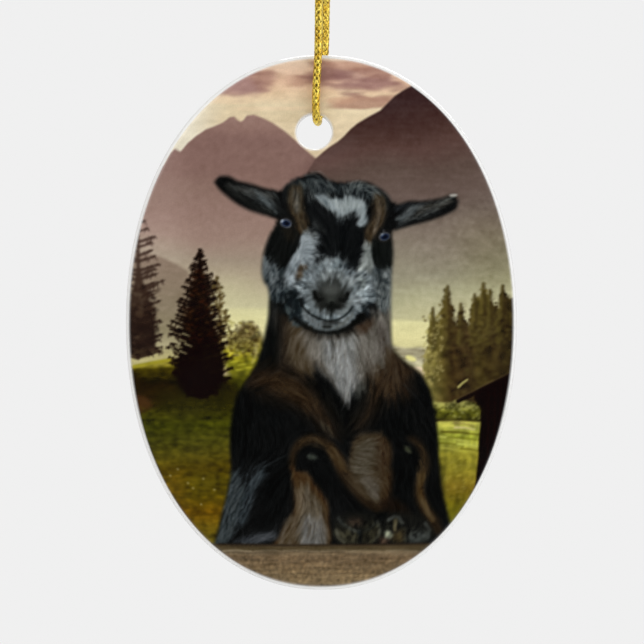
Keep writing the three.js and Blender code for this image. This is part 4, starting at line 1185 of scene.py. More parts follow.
# Where single hairs are drawn: an outline, then tufts of (count, length, colour, strength[, width, spread]).
HAIR_TUFTS = [
    ([(-4, 5), (-1.5, 8), (1.5, 9), (4, 7.4), (7, 6.5), (7, 3), (4.8, 1), (4.8, 5), (1.4, 5.8), (-1.4, 5),
      (-2.4, 2)],
     [(230, 0.5, (136, 145, 148), 0.34, 0.11, 0.9), (170, 0.5, (50, 56, 58), 0.34, 0.11, 0.9)]),
    ([(-1.4, 8.2), (1.4, 8.4), (4, 7.4), (3.4, 8.8), (1.4, 9.8), (-1, 9)],
     [(70, 0.9, (112, 118, 118), 0.42, 0.1, 0.45)]),
    ([(-2.6, 12), (-1.2, 12), (-1.2, 8.6), (-2, 8), (-4, 8)],
     [(60, 0.9, (166, 174, 176), 0.5, 0.11, 0.35)]),
    ([(-1.5, 12.4), (-0.8, 12.2), (-0.6, 9), (-1.4, 8.2)], [(60, 0.8, (136, 144, 147), 0.6, 0.1, 0.5)]),
    ([(-2.6, 13), (-0.8, 13.2), (-0.9, 11.6), (-2.2, 11.8)], [(30, 0.9, (104, 108, 106), 0.5, 0.1, 0.6)]),
    ([(5.4, 10.6), (6, 10.8), (5.6, 8), (4.8, 7.2)], [(30, 0.7, (124, 130, 128), 0.5, 0.1, 0.5)]),
    ([(-0.6, 17), (2, 16.8), (5.6, 16.8), (5.9, 14), (3, 15), (0.6, 15.8)],
     [(80, 1.3, (168, 176, 176), 0.5, 0.12)]),
    ([(2, 14.8), (5, 14.8), (5.6, 13.6), (4.6, 14), (2.6, 14)], [(34, 1, (118, 126, 128), 0.45)]),
    ([(-2.8, 19.6), (0.4, 19.8), (2, 18.6), (1, 17.4), (-2, 17)], [(46, 1.4, (120, 126, 124), 0.5, 0.11)]),
    ([(2.4, 18.9), (7, 18.8), (7.4, 17.4), (3.4, 17.2)], [(60, 1.3, (128, 136, 134), 0.5, 0.11)]),
    ([(-8, 8.6), (-5.6, 7), (-4.6, 4), (-7.2, 3.6)],
     [(70, 1.1, (126, 134, 137), 0.45), (50, 1, (24, 28, 30), 0.5, 0.11)]),
    ([(7, 7), (9.4, 7), (9.4, 2), (7.4, 2.4)],
     [(60, 1.1, (134, 140, 138), 0.45), (40, 1, (34, 38, 38), 0.45, 0.11)]),
    ([(-2.6, -1.8), (8.6, -1.4), (9, -5), (5, -9), (3.4, -10.6), (1.6, -8.4), (-1.4, -5)],
     [(170, 1.8, (150, 148, 140), 0.35, 0.11), (130, 1.6, (48, 40, 32), 0.4, 0.11)]),
    ([(1, -5), (4.6, -5), (4.8, -8.6), (3.4, -11), (2, -9)], [(60, 1.7, (164, 166, 166), 0.4, 0.12)]),
    ([(-9, -6.8), (-4, -7.6), (-1, -9.6), (2, -15), (-0.6, -13), (-4, -10.6), (-9, -9)],
     [(90, 1.5, (66, 52, 34), 0.4)]),
    ([(7, -6), (12, -7.6), (11, -10.4), (8, -10.6), (5.4, -14)], [(70, 1.5, (74, 58, 40), 0.4)]),
    ([(-0.6, -13), (1.2, -15.6), (2, -15.4), (0.2, -12.8)], [(14, 1.6, (78, 76, 66), 0.5)]),
    ([(-12.4, -20.6), (-8, -19.8), (-9.6, -25), (-12, -30), (-14.4, -30)],
     [(130, 2, (86, 95, 100), 0.42, 0.11), (70, 2, (10, 12, 13), 0.5, 0.12)]),
    ([(-12, -30), (-6.4, -28.4), (-6.4, -29.6), (-10, -30.4)], [(30, 1.8, (92, 95, 100), 0.4, 0.11)]),
    ([(4, -17.6), (6, -15.4), (9, -16), (9, -23), (8, -24.6), (5.4, -22)],
     [(110, 1.2, (104, 96, 82), 0.35), (80, 1.1, (30, 22, 14), 0.4)]),
    ([(-4.4, -21), (-2, -21), (0.8, -25), (0.6, -30), (-6, -30), (-4, -26)],
     [(110, 1.6, (112, 98, 76), 0.35), (70, 1.5, (30, 21, 12), 0.4)]),
    ([(-4.4, -17), (-1, -15), (2, -17), (3, -19.4), (5, -21.6), (2.6, -20), (0, -16.6), (-3.6, -17.6)],
     [(60, 1.3, (84, 70, 50), 0.4)]),
    ([(13, -16), (14.6, -19), (13.8, -23), (15.8, -27), (14.4, -26), (13, -22)],
     [(50, 1.4, (100, 80, 52), 0.4)]),
    ([(-12.8, 19.2), (-6.4, 17.8), (-6.2, 15), (-9, 16)],
     [(70, 1.6, (104, 109, 108), 0.4), (50, 1.6, (16, 17, 17), 0.5, 0.11)]),
    ([(10, 14), (12.6, 16.2), (18, 17), (15, 15), (12, 13.6)],
     [(70, 1.6, (112, 117, 114), 0.4), (50, 1.6, (18, 19, 20), 0.5, 0.11)]),
    ([(-4.6, 18.2), (-2.6, 18.6), (-1.7, 12.4), (-3.7, 13)],
     [(45, 1.2, (112, 100, 80), 0.35), (70, 1.1, (18, 18, 16), 0.5, 0.11)]),
    ([(7, 17), (8.7, 16.6), (7.8, 12), (6, 11)],
     [(35, 1.2, (112, 96, 74), 0.35), (60, 1.1, (20, 19, 16), 0.5, 0.11)]),
    ([(-11, -12), (-5, -12), (-5, -27), (-9, -27), (-12, -19)], [(60, 2.2, (26, 29, 30), 0.5, 0.12)]),
    ([(9, -11), (14.6, -10), (15.6, -22), (12, -14)], [(40, 2, (26, 27, 26), 0.5, 0.12)]),
]


def paint_hair(canvas, part):
    luma = canvas.colour.mean(axis=-1)
    change = canvas.fine * (1.6 + 0.085 * luma) + canvas.broad * (0.6 + 0.05 * luma)
    canvas.colour[part] = np.clip(canvas.colour[part] + change[part][..., None], 0, 255)
    for outline, tufts in HAIR_TUFTS:
        for tuft in tufts:
            canvas.hairs(outline, *tuft)


def paint_loose_hair(canvas):
    for line, shade, strength in (
        ([(-1.4, 20.5), (-0.2, 20.6), (0.8, 19.8), (1.5, 18.9)], (150, 150, 142), 0.4),
        ([(-2.2, 20.1), (-0.9, 20.2), (0.2, 19.4), (1, 18.4)], (120, 124, 120), 0.42),
        ([(-1.2, 19.6), (0, 19.3), (1, 18.4), (1.4, 17.6)], (128, 134, 132), 0.42),
        ([(3.6, 18.9), (4.8, 19.35), (6, 19.1), (7, 18.3)], (136, 142, 138), 0.42),
        ([(4.4, 18.4), (5.6, 18.9), (6.8, 18.6), (7.8, 17.7)], (124, 130, 126), 0.42),
        ([(6.4, 18.7), (7.4, 18.5), (8.2, 17.8), (8.8, 17)], (100, 102, 96), 0.42),
        ([(8.6, 17.8), (9.2, 17.2), (9.6, 16.6)], (112, 112, 106), 0.5),
        ([(-8, -19.8), (-6.4, -18.9), (-4.8, -18.1)], (52, 58, 60), 0.7),
        ([(-8.2, -20.2), (-9.8, -22), (-11.2, -24.6)], (78, 88, 92), 0.6),
        ([(11.2, -8.4), (12.6, -9.8), (13.9, -11.4)], (46, 48, 50), 0.6)
    ):
        canvas.stroke(line, 0.16, 0.07, shade, strength, 0.08)
    canvas.oval((18.0, 17.35), (0.55, 0.2), (196, 192, 182), 0.15, 0.8, 5)


def paint_hooves(canvas):
    for outline in (
        [(1.6, -27), (3.2, -26), (6.6, -26), (8, -27.6), (7.9, -29.2), (6.8, -30.4), (3, -30.4),
         (1.8, -28.8)], [(8.3, -28), (9.2, -26.2), (11, -25.8), (13.6, -26.4), (15, -28.2), (14.6, -30.3),
         (8.6, -30.4)]
    ):
        canvas.fill(outline, (25, 25, 21), 0.7, 0, 0.85)
    lobes = [
        ((3.5, -29), (1.6, 1.1), (52, 50, 39), -28), ((6.7, -28.9), (1.5, 1.2), (46, 44, 34), 30),
        ((4.6, -27.2), (1, 0.6), (44, 36, 30), 0), ((10.6, -29.3), (0.9, 0.9), (64, 54, 34), 0),
        ((13, -29.3), (1.6, 0.9), (62, 66, 63), 12), ((8.5, -29.9), (0.5, 0.4), (96, 74, 60), 0),
    ]
    for centre, radii, shade, tilt in lobes:
        canvas.oval(centre, radii, shade, 0.8, 0.8, tilt)
    canvas.oval((9.1, -28.9), (0.6, 0.45), (130, 134, 114), 0.35, 0.85, -20)
    rims = [
        ([(2.3, -26.7), (3, -27.6), (4.2, -28.3), (5.2, -28.5)], (62, 66, 64), 0.6),
        ([(5.2, -28.5), (6.5, -28.2), (7.6, -27.2)], (50, 53, 50), 0.55),
        ([(2, -28.4), (2.3, -29.3), (3.1, -30)], (96, 94, 80), 0.7),
        ([(7.9, -27.6), (8, -28.7), (7.3, -29.7)], (68, 69, 62), 0.45),
        ([(5.2, -28.7), (5.3, -29.4), (5.3, -30.2)], (12, 14, 16), 0.8),
        ([(9.2, -26.9), (9.9, -26.5), (10.6, -26.6), (11.1, -27.4)], (86, 90, 86), 0.6),
        ([(10.1, -27), (10, -28.2)], (132, 120, 86), 0.7),
        ([(11.7, -27), (11.9, -28.4), (11.8, -30)], (14, 14, 12), 0.7),
        ([(14.2, -27.4), (14.7, -28.3), (14.5, -29.4)], (82, 86, 84), 0.5),
    ]
    for line, shade, strength in rims:
        canvas.stroke(line, 0.4, 0.26, shade, strength, 0.24)
    grit = canvas.drag(canvas.noise(0.14, 0.14), 2)
    away = canvas.away(8.2, -28.4, 6.8, 2)
    canvas.colour *= (1 + 0.24 * smooth_step((1.15 - away) / 0.4) * np.clip(grit, -1.5, 2))[..., None]


def paint_rail(canvas):
    rng = canvas.rng
    grain = canvas.noise(1.6, 0.07)
    weave = canvas.noise(0.12, 0.12)
    blot = canvas.noise(1.5, 0.4)

    def wood(x, z, part):
        colour = ramp(
            z, [(-37, (118, 102, 74)), (-34, (116, 97, 69)), (-32, (112, 92, 67)), (-31.3, (112, 97, 74)),
             (-31, (78, 66, 46)), (-30.5, (68, 57, 40)), (-30.1, (52, 43, 31))],
        )
        deep = smooth_step((-31.2 - z) / 0.5)
        change = 0.07 * grain[part] + (0.03 + 0.06 * deep) * weave[part] + 0.05 * blot[part]
        return colour * (1 + change)[..., None]

    edge = [(-27, -30.15), (-9, -30.2), (0, -30.25), (12, -30.15), (27, -29.9), (27, -37.2), (-27, -37.2)]
    canvas.fill(edge, wood, 0.1, rounded=False)
    for _ in range(420):
        x, z = rng.uniform(-14, 14), -31.2 - abs(rng.normal(0, 2.4))
        run = rng.uniform(0.6, 2.6)
        shade = canvas.either((150, 130, 100), (82, 64, 42))
        canvas.stroke(
            [(x, z), (x + run * 0.5, z + rng.normal(0, 0.05)), (x + run, z)], 0.12, 0.05, shade, 0.3,
        )
    for x, z in canvas.scatter(420, -13, 13, -36, -31.5):
        lean = rng.choice([-1, 1]) * rng.uniform(0.5, 1.2)
        shade = canvas.either((142, 122, 92), (86, 68, 46))
        canvas.stroke([(x, z), (x + 0.3, z + 0.3 * lean)], 0.1, 0.06, shade, 0.35)
    for start, end, strength in (
        (-13.4, -9.6, 0.8), (-9, -5, 0.45), (-5.2, -0.4, 0.4), (0, 4.6, 0.4), (4.2, 8, 0.3),
        (8.8, 13, 0.5)
    ):
        middle = (start + end) / 2
        canvas.stroke(
            [(start, -31.15), (middle, -31.05), (end, -31.2)], 0.14, 0.08, (176, 162, 134), strength, 0.08,
        )
    canvas.stroke(
        [(-14, -30.2), (-5, -30.4), (3, -30.35), (14, -30.15)], 0.22, 0.22, (34, 28, 22), 0.7, 0.12,
    )


def paint_picture(seed):
    """The whole picture: an evening alp, spruces and a hut, and a goat kid with its feet on a rail."""
    canvas = Canvas(seed)
    paint_sky(canvas)
    paint_mountains(canvas)
    paint_valley(canvas)
    paint_meadow(canvas)
    paint_left_trees(canvas)
    paint_right_side(canvas)
    paint_goat(canvas)
    paint_rail(canvas)
    canvas.colour += (1.1 * canvas.noise(0.1, 0.1))[..., None]
    canvas.sharpen(0.4)
    # The glaze's own shine lifts the darkest tones, so they are printed a little deeper.
    canvas.colour -= 9 * smooth_step((64 - canvas.colour) / 50)
    return canvas


# ---- Materials ----

NOISE_SPAN = (0.3, 0.7)


def add_node(tree, kind, inputs=None, **settings):
    """A node with its settings and inputs: an input is a value, or a socket to link from."""
    node = tree.nodes.new(kind)
    for name, value in settings.items():
        setattr(node, name, value)
    for name, value in (inputs or {}).items():
        socket = node.inputs[name]
        if isinstance(value, bpy.types.NodeSocket):
            tree.links.new(value, socket)
        else:
            socket.default_value = value
    return node


def new_material(name):
    """A material that holds one Principled shader, with its tree and the shader."""
    material = bpy.data.materials.new(name)
    material.use_nodes = True
    tree = material.node_tree
    tree.nodes.clear()
    shader = tree.nodes.new("ShaderNodeBsdfPrincipled")
    out = tree.nodes.new("ShaderNodeOutputMaterial")
    tree.links.new(shader.outputs["BSDF"], out.inputs["Surface"])
    return material, tree, shader


def plug(tree, shader, **values):
    """Set a shader's sockets, or link them where the value is a socket. _ stands for a space."""
    for name, value in values.items():
        socket = shader.inputs[name.replace("_", " ")]
        if isinstance(value, bpy.types.NodeSocket):
            tree.links.new(value, socket)
        else:
            socket.default_value = value


def noise_texture(tree, place, scale, detail):
    """Noise with its middle near 0.5, most of which lies in NOISE_SPAN."""
    node = add_node(tree, "ShaderNodeTexNoise", {"Vector": place, "Scale": scale, "Detail": detail})
    return node.outputs["Fac"]


def remap(tree, value, old, new, **settings):
    """A value brought from the range old into the range new."""
    limits = dict(zip(("From Min", "From Max", "To Min", "To Max"), (*old, *new)))
    return add_node(tree, "ShaderNodeMapRange", {"Value": value, **limits}, **settings).outputs["Result"]


def blend_colours(tree, factor, first, second):
    node = add_node(tree, "ShaderNodeMix", {"Factor": factor, 6: first, 7: second}, data_type="RGBA")
    return node.outputs[2]


def add_up(tree, first, second):
    return add_node(tree, "ShaderNodeMath", {0: first, 1: second}, operation="ADD").outputs[0]


def multiply(tree, first, second):
    return add_node(tree, "ShaderNodeMath", {0: first, 1: second}, operation="MULTIPLY").outputs[0]


def new_group(name, inputs, outputs):
    """A shader node group with named sockets: inputs are (name, kind, default, low, high)."""
    group = bpy.data.node_groups.new(name, "ShaderNodeTree")
    for label, kind, default, *limits in inputs:
        socket = group.interface.new_socket(name=label, in_out="INPUT", socket_type=kind)
        socket.default_value = default
        if limits:
            socket.min_value, socket.max_value = limits
    for label, kind in outputs:
        group.interface.new_socket(name=label, in_out="OUTPUT", socket_type=kind)
    return group, group.nodes.new("NodeGroupInput"), group.nodes.new("NodeGroupOutput")


def glaze_group():
    """Slow waves and specks of a fired glaze: its tint, roughness and height."""
    if "glaze_surface" in bpy.data.node_groups:
        return bpy.data.node_groups["glaze_surface"]
    group, inlet, outlet = new_group(
        "glaze_surface",
        [
            ("Colour", "NodeSocketColor", (0.87, 0.865, 0.845, 1)),
            ("Speck", "NodeSocketFloat", 0.03, 0.0, 1.0),
            ("Roughness", "NodeSocketFloat", 0.12, 0.0, 1.0),
        ],
        [("Colour", "NodeSocketColor"), ("Roughness", "NodeSocketFloat"), ("Height", "NodeSocketFloat")],
    )
    place = add_node(group, "ShaderNodeNewGeometry").outputs["Position"]
    waves = noise_texture(group, place, 140.0, 2.0)
    speck = remap(group, noise_texture(group, place, 2600.0, 1.0), NOISE_SPAN, (0.0, 1.0))
    strength = multiply(group, speck, inlet.outputs["Speck"])
    colour = blend_colours(group, strength, inlet.outputs["Colour"], (0.45, 0.42, 0.37, 1))
    uneven = remap(group, waves, NOISE_SPAN, (-0.025, 0.035))
    group.links.new(colour, outlet.inputs["Colour"])
    group.links.new(add_up(group, uneven, inlet.outputs["Roughness"]), outlet.inputs["Roughness"])
    group.links.new(add_up(group, waves, multiply(group, speck, 0.04)), outlet.inputs["Height"])
    return group


def use_group(tree, group, **values):
    node = tree.nodes.new("ShaderNodeGroup")
    node.node_tree = group
    plug(tree, node, **values)
    return node


def bumped(tree, height, distance):
    return add_node(tree, "ShaderNodeBump", {"Height": height, "Distance": distance}).outputs["Normal"]


def glaze_material(settings):
    material, tree, shader = new_material("white_glaze")
    glaze = use_group(tree, glaze_group(), Colour=(*settings.glaze, 1), Roughness=settings.roughness)
    plug(
        tree, shader, Base_Color=glaze.outputs["Colour"], Roughness=glaze.outputs["Roughness"],
        Normal=bumped(tree, glaze.outputs["Height"], 0.02 * MM), Specular_IOR_Level=0.5, Coat_Weight=0.35,
        Coat_Roughness=0.05,
    )
    return material


def picture_material(settings):
    """The printed coat: the painted colours, the fine screen of a transfer, and a clear gloss."""
    material, tree, shader = new_material("printed_gloss")
    paint = add_node(tree, "ShaderNodeAttribute", attribute_name="picture", attribute_type="GEOMETRY")
    place = add_node(tree, "ShaderNodeNewGeometry").outputs["Position"]
    grain = noise_texture(tree, place, 5200.0, 2.0)
    lighter = remap(tree, grain, NOISE_SPAN, (1 - settings.grain, 1 + settings.grain))
    colour = add_node(
        tree, "ShaderNodeVectorMath", {0: paint.outputs["Color"], "Scale": lighter}, operation="SCALE"
    ).outputs["Vector"]
    glaze = use_group(tree, glaze_group(), Roughness=settings.roughness)
    plug(
        tree, shader, Base_Color=colour, Roughness=glaze.outputs["Roughness"],
        Normal=bumped(tree, glaze.outputs["Height"], 0.012 * MM), Specular_IOR_Level=0.4, Coat_Weight=0.25,
        Coat_Roughness=0.05,
    )
    return material


def tinsel_material(settings):
    """Flat metallic yarn: gold on the crowns, a painted dark brown shade in the gaps between the yarns, and
    painted glints that differ from yarn to yarn.
    """
    material, tree, shader = new_material("gold_tinsel")
    raised = add_node(tree, "ShaderNodeAttribute", attribute_name="braid_height", attribute_type="GEOMETRY")
    yarn = add_node(tree, "ShaderNodeAttribute", attribute_name="braid_yarn", attribute_type="GEOMETRY")
    place = add_node(tree, "ShaderNodeNewGeometry").outputs["Position"]
    crinkle = noise_texture(tree, place, 6500.0, 2.0)
    # Painted glints: a brighter gold on random yarns, picked by each yarn's tone and the crinkle noise.
    glint = remap(tree, add_up(tree, crinkle, yarn.outputs["Fac"]), (0.5, 1.35), (0.0, 1.0))
    gold = blend_colours(tree, glint, (*settings.gold, 1), (*settings.bright, 1))
    # Painted shade in the gaps: the colour turns to the shade colour where the braid lies low, with a noisy
    # edge.
    gap_shade_jitter = remap(tree, noise_texture(tree, place, 1900.0, 1.0), NOISE_SPAN, (-0.22, 0.22))
    deep = remap(tree, add_up(tree, raised.outputs["Fac"], gap_shade_jitter), (0.22, 0.6), (1.0, 0.0))
    plug(
        tree, shader, Base_Color=blend_colours(tree, deep, gold, (*settings.shade, 1)),
        Roughness=remap(tree, crinkle, NOISE_SPAN, (0.22, 0.46)),
        Metallic=remap(tree, deep, (0.0, 1.0), (0.9, 0.8)), Normal=bumped(tree, crinkle, 0.05 * MM),
    )
    return material


# ---- Settings ----


def colour_setting(name, description, default):
    return FloatVectorProperty(
        name=name, description=description, subtype="COLOR", size=3, default=default, min=0, max=1
    )


def length_setting(name, description, default):
    return FloatProperty(
        name=name, description=description, subtype="DISTANCE", unit="LENGTH", default=default,
    )


class PlateSettings(bpy.types.PropertyGroup):
    spokes: IntProperty(
        name="Spokes", description="Points round the plate's outline", default=512, min=64, max=2048
    )
    glaze: colour_setting("Glaze", "Colour of the white glaze", (0.93, 0.925, 0.91))
    roughness: FloatProperty(
        name="Roughness", description="Roughness of the glaze", default=0.14, min=0, max=1,
    )


class PictureSettings(bpy.types.PropertyGroup):
    columns: IntProperty(name="Columns", description="Mesh cells across the picture", default=270, min=40)
    rows: IntProperty(name="Rows", description="Mesh cells up the picture", default=368, min=40)
    seed: IntProperty(name="Seed", description="Seed of the painted hair, grass and clouds", default=11)
    grain: FloatProperty(
        name="Grain", description="Strength of the print's grain", default=0.05, min=0, max=1,
    )
    roughness: FloatProperty(
        name="Roughness", description="Roughness of the coat", default=0.2, min=0, max=1,
    )


class CordSettings(bpy.types.PropertyGroup):
    yarns: IntProperty(name="Yarns", description="Yarns braided each way round", default=5, min=2, max=12)
    crossing: length_setting("Crossing", "Length from one yarn crossing to the next", 0.45 * MM)
    relief: length_setting("Relief", "How far the yarns stand out of the cord", 0.13 * MM)
    gold: colour_setting("Gold", "Colour of most yarns", (0.72, 0.43, 0.03))
    # bright is the colour of the painted glints on some yarns.
    bright: colour_setting("Bright", "Colour of the glinting yarns", (1.0, 0.78, 0.14))
    # shade is the colour of the painted shade in the gaps between the yarns.
    shade: colour_setting("Shade", "Colour between the yarns", (0.12, 0.055, 0.004))


class StageSettings(bpy.types.PropertyGroup):
    backdrop: colour_setting("Backdrop", "Colour of the floor and backdrop", (0.871, 0.871, 0.871))
    lens: FloatProperty(name="Lens", description="Camera lens in millimetres", default=200, min=10)
    field: length_setting("Field", "Width that the camera sees at the picture", 87.84 * MM)
    floor_drop: length_setting("Floor drop", "How far the floor lies below the plate's middle", 0.33)
    key: FloatProperty(name="Key", description="Power of the main soft light in watts", default=8.9, min=0)
    fill: FloatProperty(name="Fill", description="Strength of the light from all round", default=0.38, min=0)


class OrnamentSettings(bpy.types.PropertyGroup):
    plate: PointerProperty(type=PlateSettings)
    picture: PointerProperty(type=PictureSettings)
    cord: PointerProperty(type=CordSettings)
    stage: PointerProperty(type=StageSettings)


# ---- Operators ----


class ORNAMENT_OT_cord(bpy.types.Operator):
    """Braid the gold cord along its route, through its knot and out to its sealed tips"""

    bl_idname = "ornament.cord"
    bl_label = "Gold cord"

    def execute(self, context):
        settings = context.scene.ornament.cord
        line = smooth_route(np.array(cord_route()) * MM, CORD_STEP)
        along = np.concatenate([[0], np.cumsum(np.linalg.norm(np.diff(line, axis=0), axis=1))])
        first, second = travel_frames(line)
        around = np.arange(CORD_SIDES) / CORD_SIDES
        waver = wander(np.random.default_rng(5), along.size, 0.07 * settings.crossing)
        height, yarn = braid_height(
            around[None, :], (along + waver)[:, None], settings.yarns, settings.crossing * 2,
        )
        # A random tone for each yarn crossing: it picks the yarns that get painted glints, and varies the
        # crowns' height.
        tones = np.modf(np.abs(np.sin(yarn * 12.9898) * 43758.5453))[0]
        height *= 0.78 + 0.22 * np.modf(tones * 7)[0]
        radius = CORD_DIAMETER / 2 - settings.relief * (1 - height)
        tip = np.minimum(along, along[-1] - along) / (0.35 * MM)
        radius *= np.sqrt(np.clip(1 - (1 - np.clip(tip, 0, 1)) ** 2, 0.02, 1))[:, None]
        angle = around * 2 * math.pi
        ring = np.cos(angle)[None, :, None] * first[:, None] + np.sin(angle)[None, :, None] * second[:, None]
        points = (line[:, None] + ring * radius[..., None]).reshape(-1, 3)
        faces = ring_faces(len(line), CORD_SIDES)
        faces.append(tuple(range(CORD_SIDES))[::-1])
        faces.append(tuple(range(len(points) - CORD_SIDES, len(points))))
        cord = new_object("gold_cord", points, faces, tinsel_material(settings))
        heights = cord.data.attributes.new("braid_height", "FLOAT", "POINT")
        heights.data.foreach_set("value", height.ravel().astype(np.float32))
        yarns = cord.data.attributes.new("braid_yarn", "FLOAT", "POINT")
        yarns.data.foreach_set("value", tones.ravel().astype(np.float32))
        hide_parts("cord_loop", "cord_knot", "cord_tail_left", "cord_tail_right")
        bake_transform(cord)
        return {"FINISHED"}


def full_radius(x, z):
    """How far the unit oval reaches in the direction of each point: 1 on its axes, more between them."""
    away = np.hypot(x, z) + 1e-12
    return ((np.abs(x) / away) ** FULLNESS + (np.abs(z) / away) ** FULLNESS + 1e-12) ** (-1 / FULLNESS)


class ORNAMENT_OT_plate(bpy.types.Operator):
    """Build the glazed porcelain plate with its rounded edge and its hole"""

    bl_idname = "ornament.plate"
    bl_label = "Porcelain plate"

    def execute(self, context):
        settings = context.scene.ornament.plate
        count = settings.spokes
        turns = np.linspace(0, 2 * math.pi, count, endpoint=False)
        circle = np.stack([np.sin(turns), np.cos(turns)], axis=1)
        oval = circle * full_radius(circle[:, 0], circle[:, 1])[:, None]
        half = PLATE_HALF_THICKNESS

        def outer(inset, y):
            x = oval[:, 0] * (PLATE_HALF_WIDTH - inset)
            z = PLATE_CENTRE.z + oval[:, 1] * (PLATE_HALF_HEIGHT - inset)
            return np.stack([x, np.full(count, y), z], axis=1)

        def inner(radius, y):
            x = HOLE_X + circle[:, 0] * radius
            z = HOLE_Z + circle[:, 1] * radius
            return np.stack([x, np.full(count, y), z], axis=1)

        arc = np.linspace(0, math.pi / 2, 7)
        insets, rises = EDGE_RADIUS * (1 - np.sin(arc)), EDGE_RADIUS * (1 - np.cos(arc))
        shrinks, sinks = HOLE_EDGE_RADIUS * np.sin(arc), HOLE_EDGE_RADIUS * (1 - np.cos(arc))
        mouth = HOLE_RADIUS + HOLE_EDGE_RADIUS
        rings = [outer(EDGE_RADIUS * 1.15, -half)]
        rings += [outer(inset, -half + rise) for inset, rise in zip(insets, rises)]
        rings += [outer(inset, half - rise) for inset, rise in zip(insets[::-1], rises[::-1])]
        rings += [outer(EDGE_RADIUS * 1.15, half), inner(mouth * 1.03, half)]
        rings += [inner(mouth - shrink, half - sink) for shrink, sink in zip(shrinks, sinks)]
        rings += [inner(mouth - shrink, -half + sink) for shrink, sink in zip(shrinks[::-1], sinks[::-1])]
        rings.append(inner(mouth * 1.03, -half))
        faces = ring_faces(len(rings), count, True)
        plate = new_object("glazed_plate", np.vstack(rings), faces, glaze_material(settings))
        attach(plate, "ornament")
        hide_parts("porcelain_plate")
        return {"FINISHED"}


def plate_inset(x, z):
    """How far inside the plate's outline each point lies, both in metres from the plate's centre."""
    inset = np.zeros(x.shape)
    x, z = np.abs(x), np.abs(z)
    for _ in range(10):
        wide, tall = PLATE_HALF_WIDTH - inset, PLATE_HALF_HEIGHT - inset
        across, up = (x / wide) ** FULLNESS, (z / tall) ** FULLNESS
        slope = FULLNESS * (across / wide + up / tall) + 1e-6
        inset = np.clip(inset - (across + up - 1) / slope, -1 * MM, 25 * MM)
    return inset


def picture_sheet(columns, rows):
    """A fine grid over the plate's front, from its rim to its hole, as arrays of X, Z and faces."""
    across, up = np.meshgrid(np.linspace(-1, 1, columns + 1), np.linspace(-1, 1, rows + 1))
    x, z = across * np.sqrt(1 - up**2 / 2), up * np.sqrt(1 - across**2 / 2)
    full = full_radius(x, z)
    x, z = (x * full * (PLATE_HALF_WIDTH - PRINT_MARGIN)).ravel(), (
        z * full * (PLATE_HALF_HEIGHT - PRINT_MARGIN)
    ).ravel()
    hole_z = HOLE_Z - PLATE_CENTRE.z
    edge = HOLE_RADIUS + PRINT_HOLE_MARGIN
    away = np.hypot(x - HOLE_X, z - hole_z)
    index = np.arange(x.size).reshape(rows + 1, columns + 1)
    quads = np.stack(
        [index[:-1, :-1].ravel(), index[:-1, 1:].ravel(), index[1:, 1:].ravel(), index[1:, :-1].ravel()],
        axis=1,
    )
    quads = quads[(away[quads] > edge).any(axis=1)]
    pull = away < edge
    x = np.where(pull, HOLE_X + (x - HOLE_X) * edge / np.maximum(away, 1e-9), x)
    z = np.where(pull, hole_z + (z - hole_z) * edge / np.maximum(away, 1e-9), z)
    used = np.unique(quads)
    renumber = np.zeros(x.size, int)
    renumber[used] = np.arange(used.size)
    return x[used], z[used], renumber[quads]


class ORNAMENT_OT_picture(bpy.types.Operator):
    """Lay the printed picture over the plate's front, down over its rim and into its hole's mouth"""

    bl_idname = "ornament.picture"
    bl_label = "Printed picture"

    def execute(self, context):
        settings = context.scene.ornament.picture
        x, z, quads = picture_sheet(settings.columns, settings.rows)
        inset = plate_inset(x, z)
        mouth = np.hypot(x - HOLE_X, z + PLATE_CENTRE.z - HOLE_Z) - HOLE_RADIUS
        rim_fall = EDGE_RADIUS - np.sqrt(EDGE_RADIUS**2 - np.clip(EDGE_RADIUS - inset, 0, EDGE_RADIUS) ** 2)
        hole_fall = HOLE_EDGE_RADIUS - np.sqrt(
            HOLE_EDGE_RADIUS**2 - np.clip(HOLE_EDGE_RADIUS - mouth, 0, HOLE_EDGE_RADIUS) ** 2
        )
        full = -PRINT_FACE_Y - PLATE_HALF_THICKNESS
        cover = np.minimum(smooth_step((inset - 0.3 * MM) / (0.6 * MM)), smooth_step(mouth / (0.5 * MM)))
        y = -PLATE_HALF_THICKNESS + rim_fall + hole_fall - (PRINT_THINNEST + (full - PRINT_THINNEST) * cover)
        canvas = paint_picture(settings.seed)
        colour = canvas.sample(x / MM, z / MM) / 255
        colour = np.where(colour <= 0.04045, colour / 12.92, ((colour + 0.055) / 1.055) ** 2.4)
        white = np.array(context.scene.ornament.plate.glaze)
        bare = np.maximum(
            smooth_step((WHITE_RIM - inset) / PRINT_FEATHER),
            smooth_step((WHITE_HOLE_RIM - mouth) / PRINT_FEATHER),
        )
        colour = mix(colour, white, bare)
        points = np.stack([x, y, z + PLATE_CENTRE.z], axis=1)
        picture = new_object("picture_print", points, quads, picture_material(settings))
        paint = picture.data.color_attributes.new("picture", "FLOAT_COLOR", "POINT")
        paint.data.foreach_set("color", np.hstack([colour, np.ones((x.size, 1))]).astype(np.float32).ravel())
        close_behind(picture.data, PRINT_ROOT - PLATE_HALF_THICKNESS)
        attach(picture, "ornament")
        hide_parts("front_print")
        return {"FINISHED"}


def close_behind(mesh, depth):
    """Close an open sheet with walls back to a depth inside the plate, and a flat back there."""
    shell = bmesh.new()
    shell.from_mesh(mesh)
    rim = [edge for edge in shell.edges if edge.is_boundary]
    made = bmesh.ops.extrude_edge_only(shell, edges=rim)["geom"]
    for item in made:
        if isinstance(item, bmesh.types.BMVert):
            item.co.y = depth
    back = [item for item in made if isinstance(item, bmesh.types.BMEdge)]
    bmesh.ops.triangle_fill(shell, use_beauty=False, use_dissolve=False, edges=back)
    bmesh.ops.recalc_face_normals(shell, faces=shell.faces)
    shell.to_mesh(mesh)
    shell.free()


